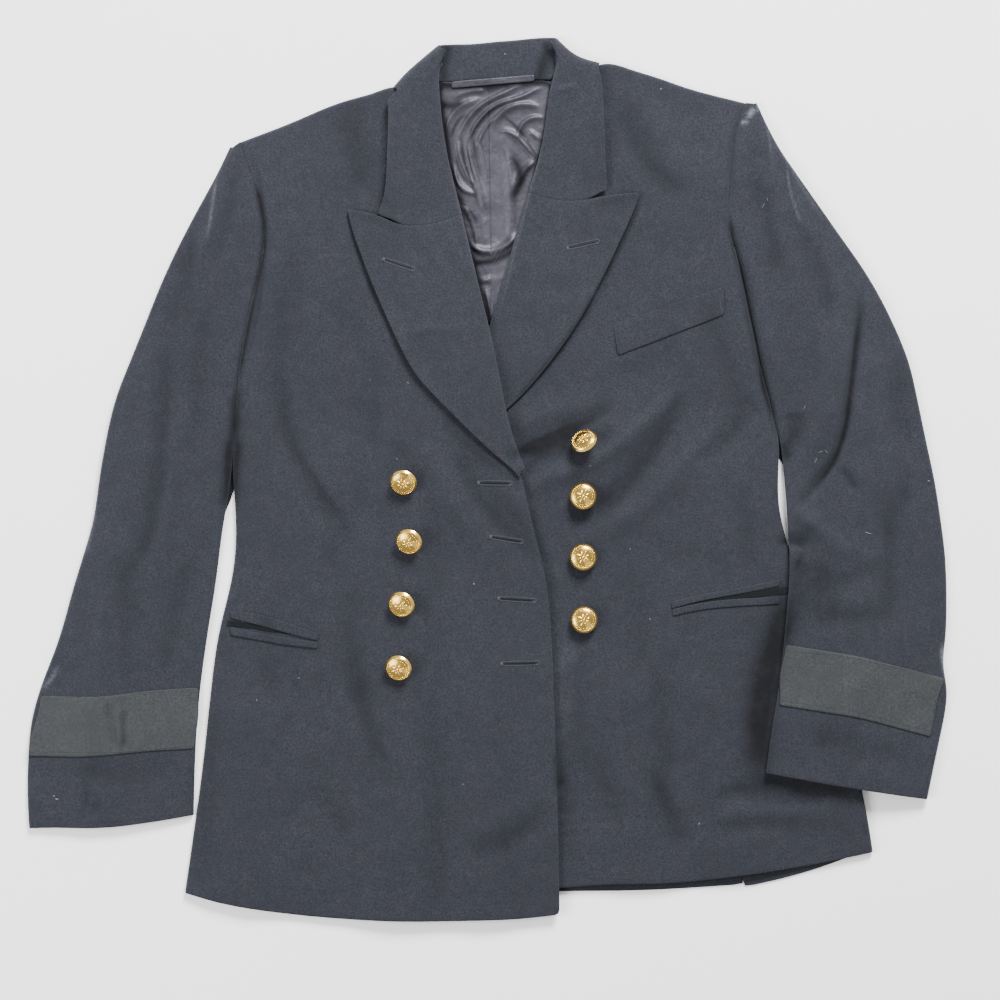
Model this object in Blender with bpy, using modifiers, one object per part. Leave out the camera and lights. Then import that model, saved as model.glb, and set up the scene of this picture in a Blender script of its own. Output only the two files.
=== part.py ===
# Double-breasted uniform dress jacket, laid out flat on its back, unfastened.
# Blender 4.5. Tables are in millimetres in the plane the jacket lies on: X to the right and
# Y towards the collar as one looks down on it, Z up from the surface. Meshes are in metres.
import math

import bmesh
import bpy
from mathutils import Vector
from mathutils.bvhtree import BVHTree

MM = 0.001

# Cloth walls
BACK_CLOTH = 1.8
FRONT_CLOTH = 2.4
SLEEVE_CLOTH = 1.8
LAPEL_CLOTH = 2.2
COLLAR_CLOTH = 2.0
LINING_CLOTH = 0.8
JET_CLOTH = 1.2
BRAID_CLOTH = 1.0

# Clearances between walls
SEAM = 0.3
SLEEVE_SEAM = 0.6
SHOULDER_SEAM = 1.3
FRONT_CLEAR = 1.5
SLEEVE_CLEAR = 1.5
SLEEVE_PUFF = 1.9
LAYER_GAP = 0.8
ROLL_GAP = 1.3
ROLL_CLEAR = 0.9
LIFT_MARGIN = 14.0
LIFT_RUN = 80.0
COLLAR_LIFT_RUN = 50.0
# Where the right sleeve begins to climb over the body's side, and over what length
CROSSING_TOP_Y = 15.0
CROSSING_RUN = 55.0
# What lies on a panel stands this much clear of it, so that their facets never touch
LAID_ON_GAP = 0.4

# Cloth turned to the underside at a fold, measured from the fold's outside
SIDE_TURN = 16.0
SHOULDER_TURN = 16.0
SLEEVE_TURN = 14.0
COLLAR_TURN = 26.0

# Mesh rows and columns
ARMHOLE_ROWS = 8
UPPER_ROWS = 8
LOWER_ROWS = 12
SLEEVE_ROWS = 11
FRONT_COLUMNS = 11
SLEEVE_COLUMNS = 6
FOLD_STEPS = 4
# Rows above the underarm over which an edge begins to turn under, and how far the layer below
# them stands back there
EASE_ROWS = 3
EASE_INSETS = [3.0, 6.0]
# Extra room between the front's hidden neck edge and the collar, for each row near the neck
NECK_EASE = 2.5
# Heights over which the collar's roll comes down from the front to the stand, Y and run
STAND_FROM_Y = 336.0
STAND_RUN = 14.0

# Gilt buttons
BUTTON_RADIUS = 11.6
BUTTON_SHANK_RADIUS = 2.6
BUTTON_SHANK = 5.0
BUTTON_RIM = 1.4
BUTTON_DOME = 3.6
BUTTON_SIDES = 14

# Shared seam lines, x y, from the shoulder down
ARMHOLE_LEFT = [(-212.4, 289.4), (-206.4, 269.6), (-200.4, 256.7), (-194.4, 230.9), (-191.8, 213.7),
                (-191.8, 200.8), (-194.4, 183.6), (-203.0, 153.5), (-207.3, 136.3)]
ARMHOLE_RIGHT = [(221.0, 322.9), (216.7, 310.0), (212.4, 299.7), (209.8, 282.5), (206.4, 250.0),
                 (205.5, 220.6), (212.4, 196.5), (221.0, 162.1), (225.3, 140.6)]
UPPER_SIDE_LEFT = [(-207.3, 136.3), (-213.3, 101.9), (-216.7, 67.5), (-218.4, 33.1), (-220.2, 7.3)]
UPPER_SIDE_RIGHT = [(225.3, 140.6), (235.6, 93.3), (242.5, 67.5), (246.8, 46.0), (251.1, 33.1)]
LOWER_SIDE_LEFT = [(-220.2, 7.3), (-217.6, -16.8), (-216.7, -35.7), (-216.7, -70.1), (-224.5, -104.5),
                   (-233.1, -138.9), (-239.1, -190.5), (-246.8, -259.3), (-260.6, -356.5)]
LOWER_SIDE_RIGHT = [(251.1, 33.1), (249.4, 8.0), (249.4, -27.1), (255.4, -46.9), (272.6, -113.1),
                    (301.0, -199.1), (321.6, -267.0), (331.1, -321.2)]

# Shoulders, x y, from the armhole to the neck point under the collar
SHOULDER_LEFT = [(-212.4, 289.4), (-170.3, 305.4), (-135.9, 320.4), (-107.5, 329.0), (-81.7, 333.0),
                 (-53.3, 341.0)]
SHOULDER_RIGHT = [(221.0, 322.9), (173.7, 335.0), (139.3, 347.0), (104.9, 353.0), (68.8, 346.0)]

# Roll lines, x y, where the fronts turn back, from the collar's top to the break
ROLL_LEFT = [(-43.0, 355.6), (-41.3, 325.5), (-38.7, 299.7), (-36.1, 282.5), (-31.0, 261.0),
             (-21.5, 222.3), (-12.9, 186.2), (-4.3, 150.9), (3.4, 119.1), (10.3, 84.7), (17.2, 50.3),
             (26.7, 20.2), (31.8, 7.3)]
ROLL_RIGHT = [(59.3, 355.6), (52.5, 334.1), (49.9, 308.3), (46.4, 286.8), (42.1, 269.6),
              (35.3, 248.1), (23.2, 206.8), (14.6, 175.0), (2.6, 136.3), (-12.0, 76.0), (-31.0, 7.3)]

# Front edges, x y, from the break to the hem
EDGE_LEFT = [(31.8, 7.3), (32.7, -9.9), (34.4, -27.1), (37.0, -41.7), (44.7, -64.9), (50.3, -89.9),
             (54.2, -138.9), (57.6, -224.9), (60.2, -319.5), (61.1, -374.5)]
EDGE_RIGHT = [(-31.0, 7.3), (-36.0, -60.0), (-39.0, -180.0), (-41.3, -353.9)]

# Hems, x y, from left to right
HEM_LEFT = [(-260.6, -356.5), (-247.7, -360.8), (-221.9, -366.8), (-170.3, -374.5), (-118.7, -378.8),
            (-67.1, -380.6), (18.9, -378.8), (53.3, -376.3), (61.1, -374.5)]
HEM_RIGHT = [(-41.3, -353.9), (61.9, -352.2), (84.3, -349.2), (139.3, -347.9), (171.1, -347.0),
             (218.4, -341.0), (271.8, -333.3), (331.1, -321.2)]
BACK_HEM_LEFT = [(-150.5, -357.0), (-70.0, -358.5), (2.0, -358.0)]
BACK_HEM_RIGHT = [(2.0, -357.0), (61.9, -354.8), (122.1, -354.6), (173.7, -352.2), (220.6, -348.0)]
SIDE_HEM_LEFT = [(-262.0, -351.0), (-205.0, -356.0), (-150.5, -357.0)]
SIDE_HEM_RIGHT = [(220.6, -351.3), (242.5, -347.0), (276.9, -337.6), (318.0, -325.5)]

# Side-body seams on the underside and the centre back, x y, from top to bottom
BACK_SEAM_LEFT = [(-147.0, 131.0), (-140.0, 20.0), (-140.0, -100.0), (-150.5, -357.0)]
BACK_SEAM_RIGHT = [(165.0, 134.0), (170.0, 20.0), (190.0, -130.0), (220.6, -351.3)]
CENTRE_BACK = [(4.0, 341.6), (3.0, 240.0), (2.0, 0.0), (2.0, -357.5)]
BACK_NECK_LEFT = (-45.5, 337.5)
BACK_NECK_RIGHT = (63.5, 341.5)

# Lapels, x y: top edge from the peak to the roll, outer edge from the peak to the break
LAPEL_TOP_LEFT = [(-120.4, 231.2), (-110.1, 230.1), (-94.6, 226.8)]
GORGE_LEFT = [(-94.6, 226.8), (-81.0, 219.0), (-66.0, 216.5), (-44.0, 219.0), (-22.4, 225.8)]
LAPEL_OUTER_LEFT = [(-120.4, 231.2), (-119.6, 222.0), (-110.1, 196.5), (-104.1, 179.3), (-90.3, 146.6),
                    (-75.7, 114.8), (-67.1, 97.6), (-58.5, 84.7), (-37.0, 62.4), (-11.2, 36.6),
                    (14.6, 13.3), (25.5, 5.0)]
LAPEL_TOP_RIGHT = [(130.4, 245.3), (113.5, 246.0), (101.5, 243.2)]
GORGE_RIGHT = [(101.5, 243.2), (90.0, 240.5), (77.4, 238.3), (55.0, 239.5), (34.6, 245.0)]
LAPEL_OUTER_RIGHT = [(130.4, 245.3), (127.3, 235.2), (112.7, 203.4), (96.3, 169.0), (77.4, 134.6),
                     (55.9, 103.6), (31.8, 74.4), (17.2, 60.6), (-4.0, 42.0), (-24.0, 18.0)]

# Collar leaves, x y: outer edge from the shoulder fold to the gorge, and the fold over the shoulder
LEAF_OUTER_LEFT = [(-81.7, 337.6), (-85.4, 329.0), (-85.1, 308.3), (-86.0, 282.5), (-86.9, 256.7),
                   (-88.5, 242.0), (-94.6, 228.2)]
LEAF_FOLD_LEFT = [(-81.7, 337.6), (-71.4, 349.6), (-59.3, 359.9), (-49.9, 367.0), (-41.3, 371.5)]
LEAF_OUTER_RIGHT = [(95.9, 358.2), (97.2, 342.7), (98.9, 316.9), (99.8, 291.1), (100.6, 269.6),
                    (103.2, 246.2)]
LEAF_FOLD_RIGHT = [(95.9, 358.2), (80.8, 362.5), (68.8, 368.5), (63.5, 375.0), (58.5, 377.6)]
COLLAR_ROLL_LEFT = [(-41.3, 371.5), (-43.0, 355.6), (-41.3, 325.5), (-38.7, 299.7), (-36.1, 282.5),
                    (-31.0, 261.0), (-22.4, 225.8)]
COLLAR_ROLL_RIGHT = [(58.5, 377.6), (59.3, 355.6), (52.5, 334.1), (49.9, 308.3), (46.4, 286.8),
                     (42.1, 269.6), (34.6, 245.0)]
STAND_ROLL = [(-40.5, 373.0), (-31.0, 373.7), (-15.5, 373.6), (10.3, 376.3), (27.5, 377.3),
              (40.4, 379.3), (57.5, 379.3)]
STAND_SEAM = [(-41.6, 341.6), (4.0, 343.4), (53.8, 343.8)]
STAND_ENDS = [(-42.3, 356.0), (58.6, 356.0)]
FALL_WIDTH = 42.0
# What the hidden part of the collar covers on the surface, round its edge
FALL_OUTLINE = [(-82.0, 338.0), (-41.0, 372.0), (58.0, 378.0), (96.0, 358.0), (80.0, 330.0),
                (4.0, 330.0), (-64.0, 325.0)]

# Lining in the neck, x y
LINING_OUTER_LEFT = [(-38.0, 339.0), (-46.0, 326.0), (-45.0, 300.0), (-40.0, 270.0), (-32.0, 235.0),
                     (-20.0, 190.0), (-11.0, 150.0), (-6.0, 134.0)]
LINING_OUTER_RIGHT = [(46.0, 341.0), (56.0, 325.0), (56.0, 300.0), (50.0, 270.0), (40.0, 235.0),
                      (26.0, 190.0), (16.0, 150.0), (10.0, 134.0)]
LINING_SEAM = [(1.5, 341.6), (1.7, 280.0), (2.0, 230.0), (2.5, 134.0)]
HANGER = [(-31.0, 338.5), (4.0, 341.5), (39.6, 344.5)]
HANGER_WIDTH = 5.0
HANGER_CLOTH = 1.1

# Sleeves, x y: outer edge from the shoulder to the cuff, inner edge below the part beside the body
SLEEVE_OUTER_LEFT = [(-221.9, 285.1), (-227.9, 273.9), (-234.8, 256.7), (-245.1, 239.5),
                     (-263.2, 205.1), (-279.5, 170.7), (-293.3, 136.3), (-307.0, 101.9),
                     (-320.8, 67.5), (-328.5, 33.1), (-334.5, -1.3), (-338.8, -35.7), (-349.2, -70.1),
                     (-359.5, -104.5), (-368.9, -138.9), (-382.7, -173.3), (-393.0, -207.7),
                     (-395.6, -242.1), (-396.5, -267.9), (-394.7, -300.6)]
SLEEVE_INNER_LEFT = [(-220.2, 7.3), (-223.6, -18.5), (-229.6, -52.9), (-233.1, -87.3), (-239.1, -121.7),
                     (-248.5, -190.5), (-252.0, -250.0), (-252.8, -289.4)]
CUFF_HEM_LEFT = [(-394.7, -300.6), (-368.1, -299.7), (-333.7, -300.6), (-290.7, -295.4),
                 (-252.8, -289.4)]
SLEEVE_OUTER_RIGHT = [(231.3, 322.9), (237.4, 310.0), (245.1, 291.1), (257.1, 273.9), (281.2, 239.5),
                      (305.3, 205.1), (318.2, 187.9), (338.8, 153.5), (355.2, 119.1), (362.1, 101.9),
                      (369.8, 67.5), (376.7, 33.1), (384.4, -1.3), (389.6, -35.7), (393.9, -70.1),
                      (394.7, -104.5), (393.9, -138.9), (389.5, -155.2), (396.3, -181.9),
                      (392.2, -207.7), (384.4, -242.1), (377.5, -275.6)]
SLEEVE_INNER_RIGHT = [(251.1, 33.1), (255.4, -9.9), (256.3, -35.7), (258.0, -57.2), (258.9, -83.0),
                      (254.6, -130.3), (250.3, -173.3), (242.5, -220.6), (238.2, -252.4)]
CUFF_HEM_RIGHT = [(238.2, -252.4), (285.5, -261.0), (322.5, -267.0), (354.3, -272.2),
                  (377.5, -275.6)]

# Cuff braids, x y, from left to right
BRAID_TOP_LEFT = [(-384.0, -187.3), (-350.9, -187.9), (-325.1, -187.1), (-299.3, -183.6), (-250.5, -180.2)]
BRAID_FOOT_LEFT = [(-389.0, -238.0), (-350.9, -238.7), (-325.1, -236.9), (-299.3, -234.4),
                   (-254.0, -231.8)]
BRAID_TOP_RIGHT = [(256.5, -143.2), (311.3, -151.8), (337.1, -157.8), (389.0, -171.6)]
BRAID_FOOT_RIGHT = [(251.0, -194.2), (294.1, -200.8), (319.9, -205.1), (379.8, -221.5)]

# Pocket jets and breast welt, x y, from left to right
JETS = {
    "pocket_jet_upper_left": ([(-221.0, -114.3), (-204.7, -115.7), (-178.9, -121.7), (-146.2, -133.7)],
                              [(-221.0, -119.6), (-196.1, -126.0), (-174.6, -132.0), (-146.2, -139.0)]),
    "pocket_jet_lower_left": ([(-221.0, -126.0), (-196.1, -132.2), (-174.6, -137.0), (-146.6, -140.6)],
                              [(-221.0, -132.5), (-196.1, -138.0), (-174.6, -142.5), (-147.1, -145.6)]),
    "pocket_jet_upper_right": ([(158.2, -106.2), (182.3, -100.2), (216.7, -94.2), (250.5, -87.4)],
                               [(158.2, -111.4), (182.3, -104.8), (216.7, -98.6), (250.5, -92.0)]),
    "pocket_jet_lower_right": ([(159.1, -112.6), (182.3, -107.2), (216.7, -102.8), (250.5, -99.6)],
                               [(159.1, -117.7), (182.3, -112.4), (216.7, -108.4), (250.5, -104.7)]),
}
WELT_TOP = [(108.4, 132.0), (147.9, 145.8), (201.2, 163.8)]
WELT_FOOT = [(111.8, 106.2), (165.1, 126.7), (203.0, 141.5)]

# Buttons: side, x, y, lean in degrees, heading of the lean in degrees from +X
BUTTONS = [
    ("left", -72.6, -3.9, 21.0, 255.0),
    ("left", -67.9, -54.6, 20.0, 255.0),
    ("left", -74.4, -108.4, 14.0, 225.0),
    ("left", -76.9, -163.0, 14.0, 225.0),
    ("right", 82.1, 32.5, 21.0, 120.0),
    ("right", 81.7, -15.1, 3.0, 90.0),
    ("right", 81.7, -67.5, 2.0, 90.0),
    ("right", 82.6, -121.3, 2.0, 90.0),
]

# Largest folds: x and y of one end, x and y of the other, half width, height
BODY_FOLDS = [
    (30.0, 22.0, 95.0, 52.0, 14.0, 0.9),
    (96.0, -10.0, 174.0, 42.0, 18.0, 0.8),
    (114.0, 317.0, 165.0, 248.0, 22.0, 0.9),
    (-150.0, 280.0, -120.0, 160.0, 24.0, 0.8),
    (-190.0, 60.0, -120.0, 10.0, 26.0, 0.8),
    (190.0, -150.0, 235.0, -300.0, 26.0, 0.8),
    (-200.0, -200.0, -190.0, -330.0, 26.0, 0.8),
]
SLEEVE_FOLDS = [
    (318.0, 153.0, 311.0, 84.0, 14.0, 1.4),
    (309.0, 68.0, 264.0, -14.0, 16.0, 1.4),
    (300.0, 150.0, 262.0, 60.0, 16.0, -1.0),
    (330.0, -40.0, 300.0, -120.0, 20.0, 1.2),
    (-290.0, 90.0, -276.0, -50.0, 16.0, 1.4),
    (-240.0, 230.0, -252.0, 150.0, 16.0, 1.2),
    (-330.0, -60.0, -345.0, -150.0, 20.0, 1.2),
]


def clear_scene():
    for thing in list(bpy.data.objects):
        bpy.data.objects.remove(thing, do_unlink=True)


def smooth(value):
    value = min(1.0, max(0.0, value))
    return value * value * (3.0 - 2.0 * value)


def spline(a, b, c, d, t):
    """A point between b and c on the smooth curve through a, b, c and d."""
    return (b * 2.0 + (c - a) * t + (a * 2.0 - b * 5.0 + c * 4.0 - d) * t ** 2
            + (b * 3.0 - a - c * 3.0 + d) * t ** 3) * 0.5


def sample(table, count):
    """count + 1 points at even steps along the smooth curve through a table of x and y."""
    knots = [Vector(row) for row in table]
    knots = [knots[0] * 2.0 - knots[1]] + knots + [knots[-1] * 2.0 - knots[-2]]
    fine = [knots[1]]
    steps = 12
    for index in range(1, len(knots) - 2):
        for step in range(1, steps + 1):
            fine.append(spline(*knots[index - 1:index + 3], step / steps))
    lengths = [0.0]
    for first, second in zip(fine, fine[1:]):
        lengths.append(lengths[-1] + (second - first).length)
    points = []
    index = 0
    for number in range(count + 1):
        goal = lengths[-1] * number / count
        while index < len(fine) - 2 and lengths[index + 1] < goal:
            index += 1
        span = lengths[index + 1] - lengths[index]
        points.append(fine[index].lerp(fine[index + 1], (goal - lengths[index]) / span))
    return points


def stretches(*parts):
    """One edge made of several sampled curves, each given as (table, steps)."""
    points = []
    for table, count in parts:
        points += sample(table, count)[1 if points else 0:]
    return points


def normals(points, side):
    """Unit normals of a line of points, to its left (side 1) or right (side -1) as it runs."""
    found = []
    for index, _ in enumerate(points):
        ahead = points[min(index + 1, len(points) - 1)] - points[max(index - 1, 0)]
        found.append(Vector((-ahead.y, ahead.x)).normalized() * side)
    return found


def shifted(points, side, distance):
    """The line moved sideways by one distance, or by one for each point."""
    distances = distance if isinstance(distance, list) else [distance] * len(points)
    return [point + normal * amount
            for point, normal, amount in zip(points, normals(points, side), distances)]


def patch(top, foot, left, right):
    """Rows of points that fill the space between four edges."""
    rows = []
    for i, (start, end) in enumerate(zip(left, right)):
        v = i / (len(left) - 1)
        row = []
        for j, (high, low) in enumerate(zip(top, foot)):
            u = j / (len(top) - 1)
            across = start.lerp(end, u) + high.lerp(low, v)
            corners = left[0].lerp(right[0], u).lerp(left[-1].lerp(right[-1], u), v)
            row.append(across - corners)
        rows.append(row)
    return rows


def raised(rows, height):
    """The flat rows lifted by height(x, y, share of the way across)."""
    return [[Vector((p.x, p.y, height(p.x, p.y, j / (len(row) - 1)))) for j, p in enumerate(row)]
            for row in rows]


def material(name, colour, roughness, metallic=0.0):
    found = bpy.data.materials.get(name)
    if found is None:
        found = bpy.data.materials.new(name)
        found.use_nodes = True
        shader = found.node_tree.nodes["Principled BSDF"]
        shader.inputs["Base Color"].default_value = (*colour, 1.0)
        shader.inputs["Roughness"].default_value = roughness
        shader.inputs["Metallic"].default_value = metallic
    return found


def new_object(name, mesh, cloth_material, collection):
    thing = bpy.data.objects.new(name, mesh)
    collection.objects.link(thing)
    mesh.materials.append(cloth_material)
    return thing


def add_grid(mesh, rows):
    """A grid of faces through rows of points, in metres."""
    across = len(rows[0]) - 1
    along = len(rows) - 1
    made = bmesh.ops.create_grid(mesh, x_segments=across, y_segments=along, size=1.0)["verts"]
    made.sort(key=lambda vert: (round(vert.co.y, 5), round(vert.co.x, 5)))
    for vert, point in zip(made, [point for row in reversed(rows) for point in row]):
        vert.co = point * MM


def wall(name, grids, thickness, cloth_material, collection):
    """A closed cloth wall of one thickness round one or more joined grids of points."""
    mesh = bmesh.new()
    for rows in grids:
        add_grid(mesh, rows)
    bmesh.ops.remove_doubles(mesh, verts=mesh.verts, dist=1e-6)
    bmesh.ops.recalc_face_normals(mesh, faces=mesh.faces)
    data = bpy.data.meshes.new(name)
    mesh.to_mesh(data)
    mesh.free()
    thing = new_object(name, data, cloth_material, collection)
    solid = thing.modifiers.new("wall", "SOLIDIFY")
    solid.thickness = thickness * MM
    solid.offset = 0.0
    solid.use_even_offset = False
    return thing


def distance_outside(outline, x, y):
    """Distance from a point to a closed outline, 0 inside it."""
    point = Vector((x, y))
    inside = False
    nearest = 1e9
    for first, second in zip(outline, outline[1:] + outline[:1]):
        if (first.y > y) != (second.y > y):
            if x < first.x + (y - first.y) / (second.y - first.y) * (second.x - first.x):
                inside = not inside
        along = second - first
        share = (point - first).dot(along) / max(along.length_squared, 1e-9)
        nearest = min(nearest, (point - first - along * min(1.0, max(0.0, share))).length)
    return 0.0 if inside else nearest


def lifted(outline, x, y, rise, run=LIFT_RUN):
    """How far cloth is held up by what lies under it."""
    away = distance_outside(outline, x, y) - LIFT_MARGIN
    return rise * (1.0 - smooth(away / run))


def relief(folds, x, y):
    """Height of the soft folds at a point."""
    total = 0.0
    point = Vector((x, y))
    for x0, y0, x1, y1, half_width, height in folds:
        start = Vector((x0, y0))
        along = Vector((x1, y1)) - start
        share = min(1.0, max(0.0, (point - start).dot(along) / along.length_squared))
        away = (point - start - along * share).length
        total += height * math.exp(-(away / half_width) ** 2)
    return total


def fold_radius(point, high, low):
    return (high(point.x, point.y, 0.0) - low(point.x, point.y, 0.0)) / 2.0


def sweep(index, ease):
    """Share of the half turn that the cloth has made, growing over the first rows."""
    return min(1.0, index / ease) if ease else 1.0


def fold_start(edge, side, thickness, high, low, ease=0):
    """Where the cloth begins to turn, so that the fold's outside meets the edge line."""
    starts = []
    for index, (point, normal) in enumerate(zip(edge, normals(edge, side))):
        reach = math.sin(min(math.pi * sweep(index, ease), math.pi / 2.0))
        starts.append(point - normal * (fold_radius(point, high, low) + thickness / 2.0) * reach)
    return starts


def fold_under(edge, side, high, low, starts, ease=0):
    """Columns of points that turn the cloth round an edge, down to the height under it."""
    columns = []
    for index, (start, normal) in enumerate(zip(starts, normals(edge, side))):
        top = high(start.x, start.y, 0.0)
        foot = low(start.x, start.y, 0.0)
        radius = (top - foot) / 2.0
        column = []
        for step in range(FOLD_STEPS + 1):
            angle = math.pi * sweep(index, ease) * step / FOLD_STEPS
            flat = start + normal * radius * math.sin(angle)
            column.append(Vector((flat.x, flat.y, (top + foot) / 2.0 + radius * math.cos(angle))))
        columns.append(column)
    return columns


def turned_cloth(columns, edge, side, low, turn):
    """The cloth that runs on under a fold, from its last column to the turn's full width."""
    strip = []
    for column, point, normal, width in zip(columns, edge, normals(edge, side), turn):
        end = point - normal * width
        strip.append([column[-1], Vector((end.x, end.y, low(end.x, end.y, 0.0)))])
    return strip


def turns(left, right, most):
    """How far each row of a sleeve turns under, less where the sleeve is narrow."""
    return [min(most, 0.42 * (b - a).length) for a, b in zip(left, right)]


def loft_height(rows, reach):
    """Height of a panel's own faceted surface, for what lies on it."""
    points = [point for row in rows for point in row]
    width = len(rows[0])
    faces = []
    for i in range(len(rows) - 1):
        for j in range(width - 1):
            corner = i * width + j
            faces.append((corner, corner + 1, corner + width + 1, corner + width))
    tree = BVHTree.FromPolygons(points, faces)

    def height(x, y, _across=0.0):
        hit = tree.ray_cast(Vector((x, y, 100.0)), Vector((0.0, 0.0, -1.0)))[0]
        return hit.z if hit else reach(x, y, 0.0)
    return height


class Jacket:
    """The jacket's shared lines and heights, and one method for each group of pieces."""

    def __init__(self):
        self.collection = bpy.data.collections.new("uniform_dress_jacket")
        bpy.context.scene.collection.children.link(self.collection)
        self.serge = material("navy_serge", (0.062, 0.072, 0.092), 0.9)
        self.braid = material("flat_woven_braid", (0.090, 0.104, 0.112), 0.85)
        self.satin = material("grey_satin_lining", (0.075, 0.080, 0.088), 0.35)
        self.gilt = material("gilt", (0.72, 0.46, 0.12), 0.28, 1.0)
        self.fall_outline = [Vector(point) for point in FALL_OUTLINE]
        self.side_left = stretches((ARMHOLE_LEFT, ARMHOLE_ROWS), (UPPER_SIDE_LEFT, UPPER_ROWS),
                                   (LOWER_SIDE_LEFT, LOWER_ROWS))
        self.side_right = stretches((ARMHOLE_RIGHT, ARMHOLE_ROWS), (UPPER_SIDE_RIGHT, UPPER_ROWS),
                                    (LOWER_SIDE_RIGHT, LOWER_ROWS))
        roll = sample(ROLL_RIGHT, ARMHOLE_ROWS + UPPER_ROWS)
        self.body_right = (sample(SHOULDER_RIGHT, 6)[::-1] + self.side_right[1:]
                           + sample(HEM_RIGHT, 8)[::-1][1:] + sample(EDGE_RIGHT, 6)[::-1][1:]
                           + roll[::-1][1:])
        self.lapel_outline = (sample(LAPEL_OUTER_RIGHT, 12) + sample(ROLL_RIGHT, 12)[::-1][:9])

    def floor(self, thickness):
        """Mid height of an underside layer, held up where the collar's fall lies beneath."""
        def height(x, y, _across=0.0):
            rise = COLLAR_CLOTH + LAYER_GAP / 2.0
            return thickness / 2.0 + lifted(self.fall_outline, x, y, rise, COLLAR_LIFT_RUN)
        return height

    def front_right_mid(self, x, y, _across=0.0):
        base = self.floor(BACK_CLOTH)(x, y) + BACK_CLOTH / 2.0
        return base + FRONT_CLEAR + FRONT_CLOTH / 2.0 + relief(BODY_FOLDS, x, y)

    def front_left_mid(self, x, y, _across=0.0):
        over_front = lifted(self.body_right, x, y, FRONT_CLOTH + LAYER_GAP)
        over_lapel = lifted(self.lapel_outline, x, y, LAPEL_CLOTH + LAYER_GAP + ROLL_GAP)
        return self.front_right_mid(x, y) + over_front + over_lapel

    def lapel_mid(self, front, thickness):
        """Height of cloth that lies on a front: close at its outer edge, open at the roll."""
        def height(x, y, across):
            rise = LAYER_GAP + ROLL_GAP * across ** 2
            return front(x, y) + FRONT_CLOTH / 2.0 + rise + thickness / 2.0
        return height

    def make_fronts(self):
        hidden = ARMHOLE_ROWS + UPPER_ROWS
        ease_from = ARMHOLE_ROWS - EASE_ROWS
        roll_radius = (FRONT_CLOTH / 2.0 + LAYER_GAP + ROLL_GAP + LAPEL_CLOTH / 2.0) / 2.0
        roll_inset = roll_radius + LAPEL_CLOTH / 2.0 + ROLL_CLEAR
        self.front_surface = {}
        for label, side, shoulder, roll, edge, hem, outer, mid in (
                ("left", 1, SHOULDER_LEFT, ROLL_LEFT, EDGE_LEFT, HEM_LEFT, self.side_left,
                 self.front_left_mid),
                ("right", -1, SHOULDER_RIGHT, ROLL_RIGHT, EDGE_RIGHT, HEM_RIGHT, self.side_right,
                 self.front_right_mid)):
            low = self.floor(FRONT_CLOTH)
            shoulder_line = sample(shoulder, FRONT_COLUMNS)
            shoulder_start = fold_start(shoulder_line, side, FRONT_CLOTH, mid, low)
            eased = [roll_inset + NECK_EASE * max(0, 2 - index) for index in range(hidden + 1)]
            roll_line = shifted(sample(roll, hidden), -side, eased)
            inner = [shoulder_start[-1]] + roll_line[1:] + sample(edge, LOWER_ROWS)[1:]
            fold = outer[ease_from:]
            start = fold_start(fold, -side, FRONT_CLOTH, mid, low, EASE_ROWS)
            outer_line = [shoulder_start[0]] + outer[1:ease_from] + start
            hem_line = sample(hem, FRONT_COLUMNS)
            hem_line[0 if side == 1 else -1] = start[-1]
            if side == 1:
                rows = patch(shoulder_start, hem_line, outer_line, inner)
            else:
                rows = patch(shoulder_start[::-1], hem_line, inner, outer_line)
            rows = raised(rows, mid)
            side_fold = fold_under(fold, -side, mid, low, start, EASE_ROWS)
            side_turn = turned_cloth(side_fold[EASE_ROWS:], fold[EASE_ROWS:], -side, low,
                                     [SIDE_TURN] * len(fold))
            shoulder_fold = fold_under(shoulder_line, side, mid, low, shoulder_start)
            shoulder_turn = turned_cloth(shoulder_fold, shoulder_line, side, low,
                                         [SHOULDER_TURN] * len(shoulder_line))
            corner = outer[0].lerp(outer[1], 0.75) + Vector((side * SLEEVE_SEAM, 0.0))
            shoulder_turn[0][-1] = Vector((corner.x, corner.y, low(corner.x, corner.y)))
            wall("front_" + label, [rows, side_fold, side_turn, shoulder_fold, shoulder_turn],
                 FRONT_CLOTH, self.serge, self.collection)
            self.front_surface[label] = loft_height(rows, mid)

    def make_backs(self):
        low = self.floor(BACK_CLOTH)
        up = Vector((0.0, SLEEVE_SEAM))
        for label, side, outer, shoulder, seam, back_hem, side_hem, neck in (
                ("left", 1, self.side_left, SHOULDER_LEFT, BACK_SEAM_LEFT, BACK_HEM_LEFT, SIDE_HEM_LEFT,
                 BACK_NECK_LEFT),
                ("right", -1, self.side_right, SHOULDER_RIGHT, BACK_SEAM_RIGHT, BACK_HEM_RIGHT,
                 SIDE_HEM_RIGHT, BACK_NECK_RIGHT)):
            seam_line = sample(seam, UPPER_ROWS + LOWER_ROWS)
            fold = shifted(outer[ARMHOLE_ROWS - EASE_ROWS:], side, SIDE_TURN + SEAM)[EASE_ROWS:]
            hem = sample(side_hem, 3)
            hem[0 if side == 1 else -1] = fold[-1]
            hem[-1 if side == 1 else 0] = seam_line[-1]
            top = [fold[0].lerp(seam_line[0], share / 3) for share in range(4)]
            if side == 1:
                rows = patch(top, hem, fold, seam_line)
            else:
                rows = patch(top[::-1], hem, seam_line, fold)
            wall("side_body_" + label, [raised(rows, low)], BACK_CLOTH, self.serge, self.collection)

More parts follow.
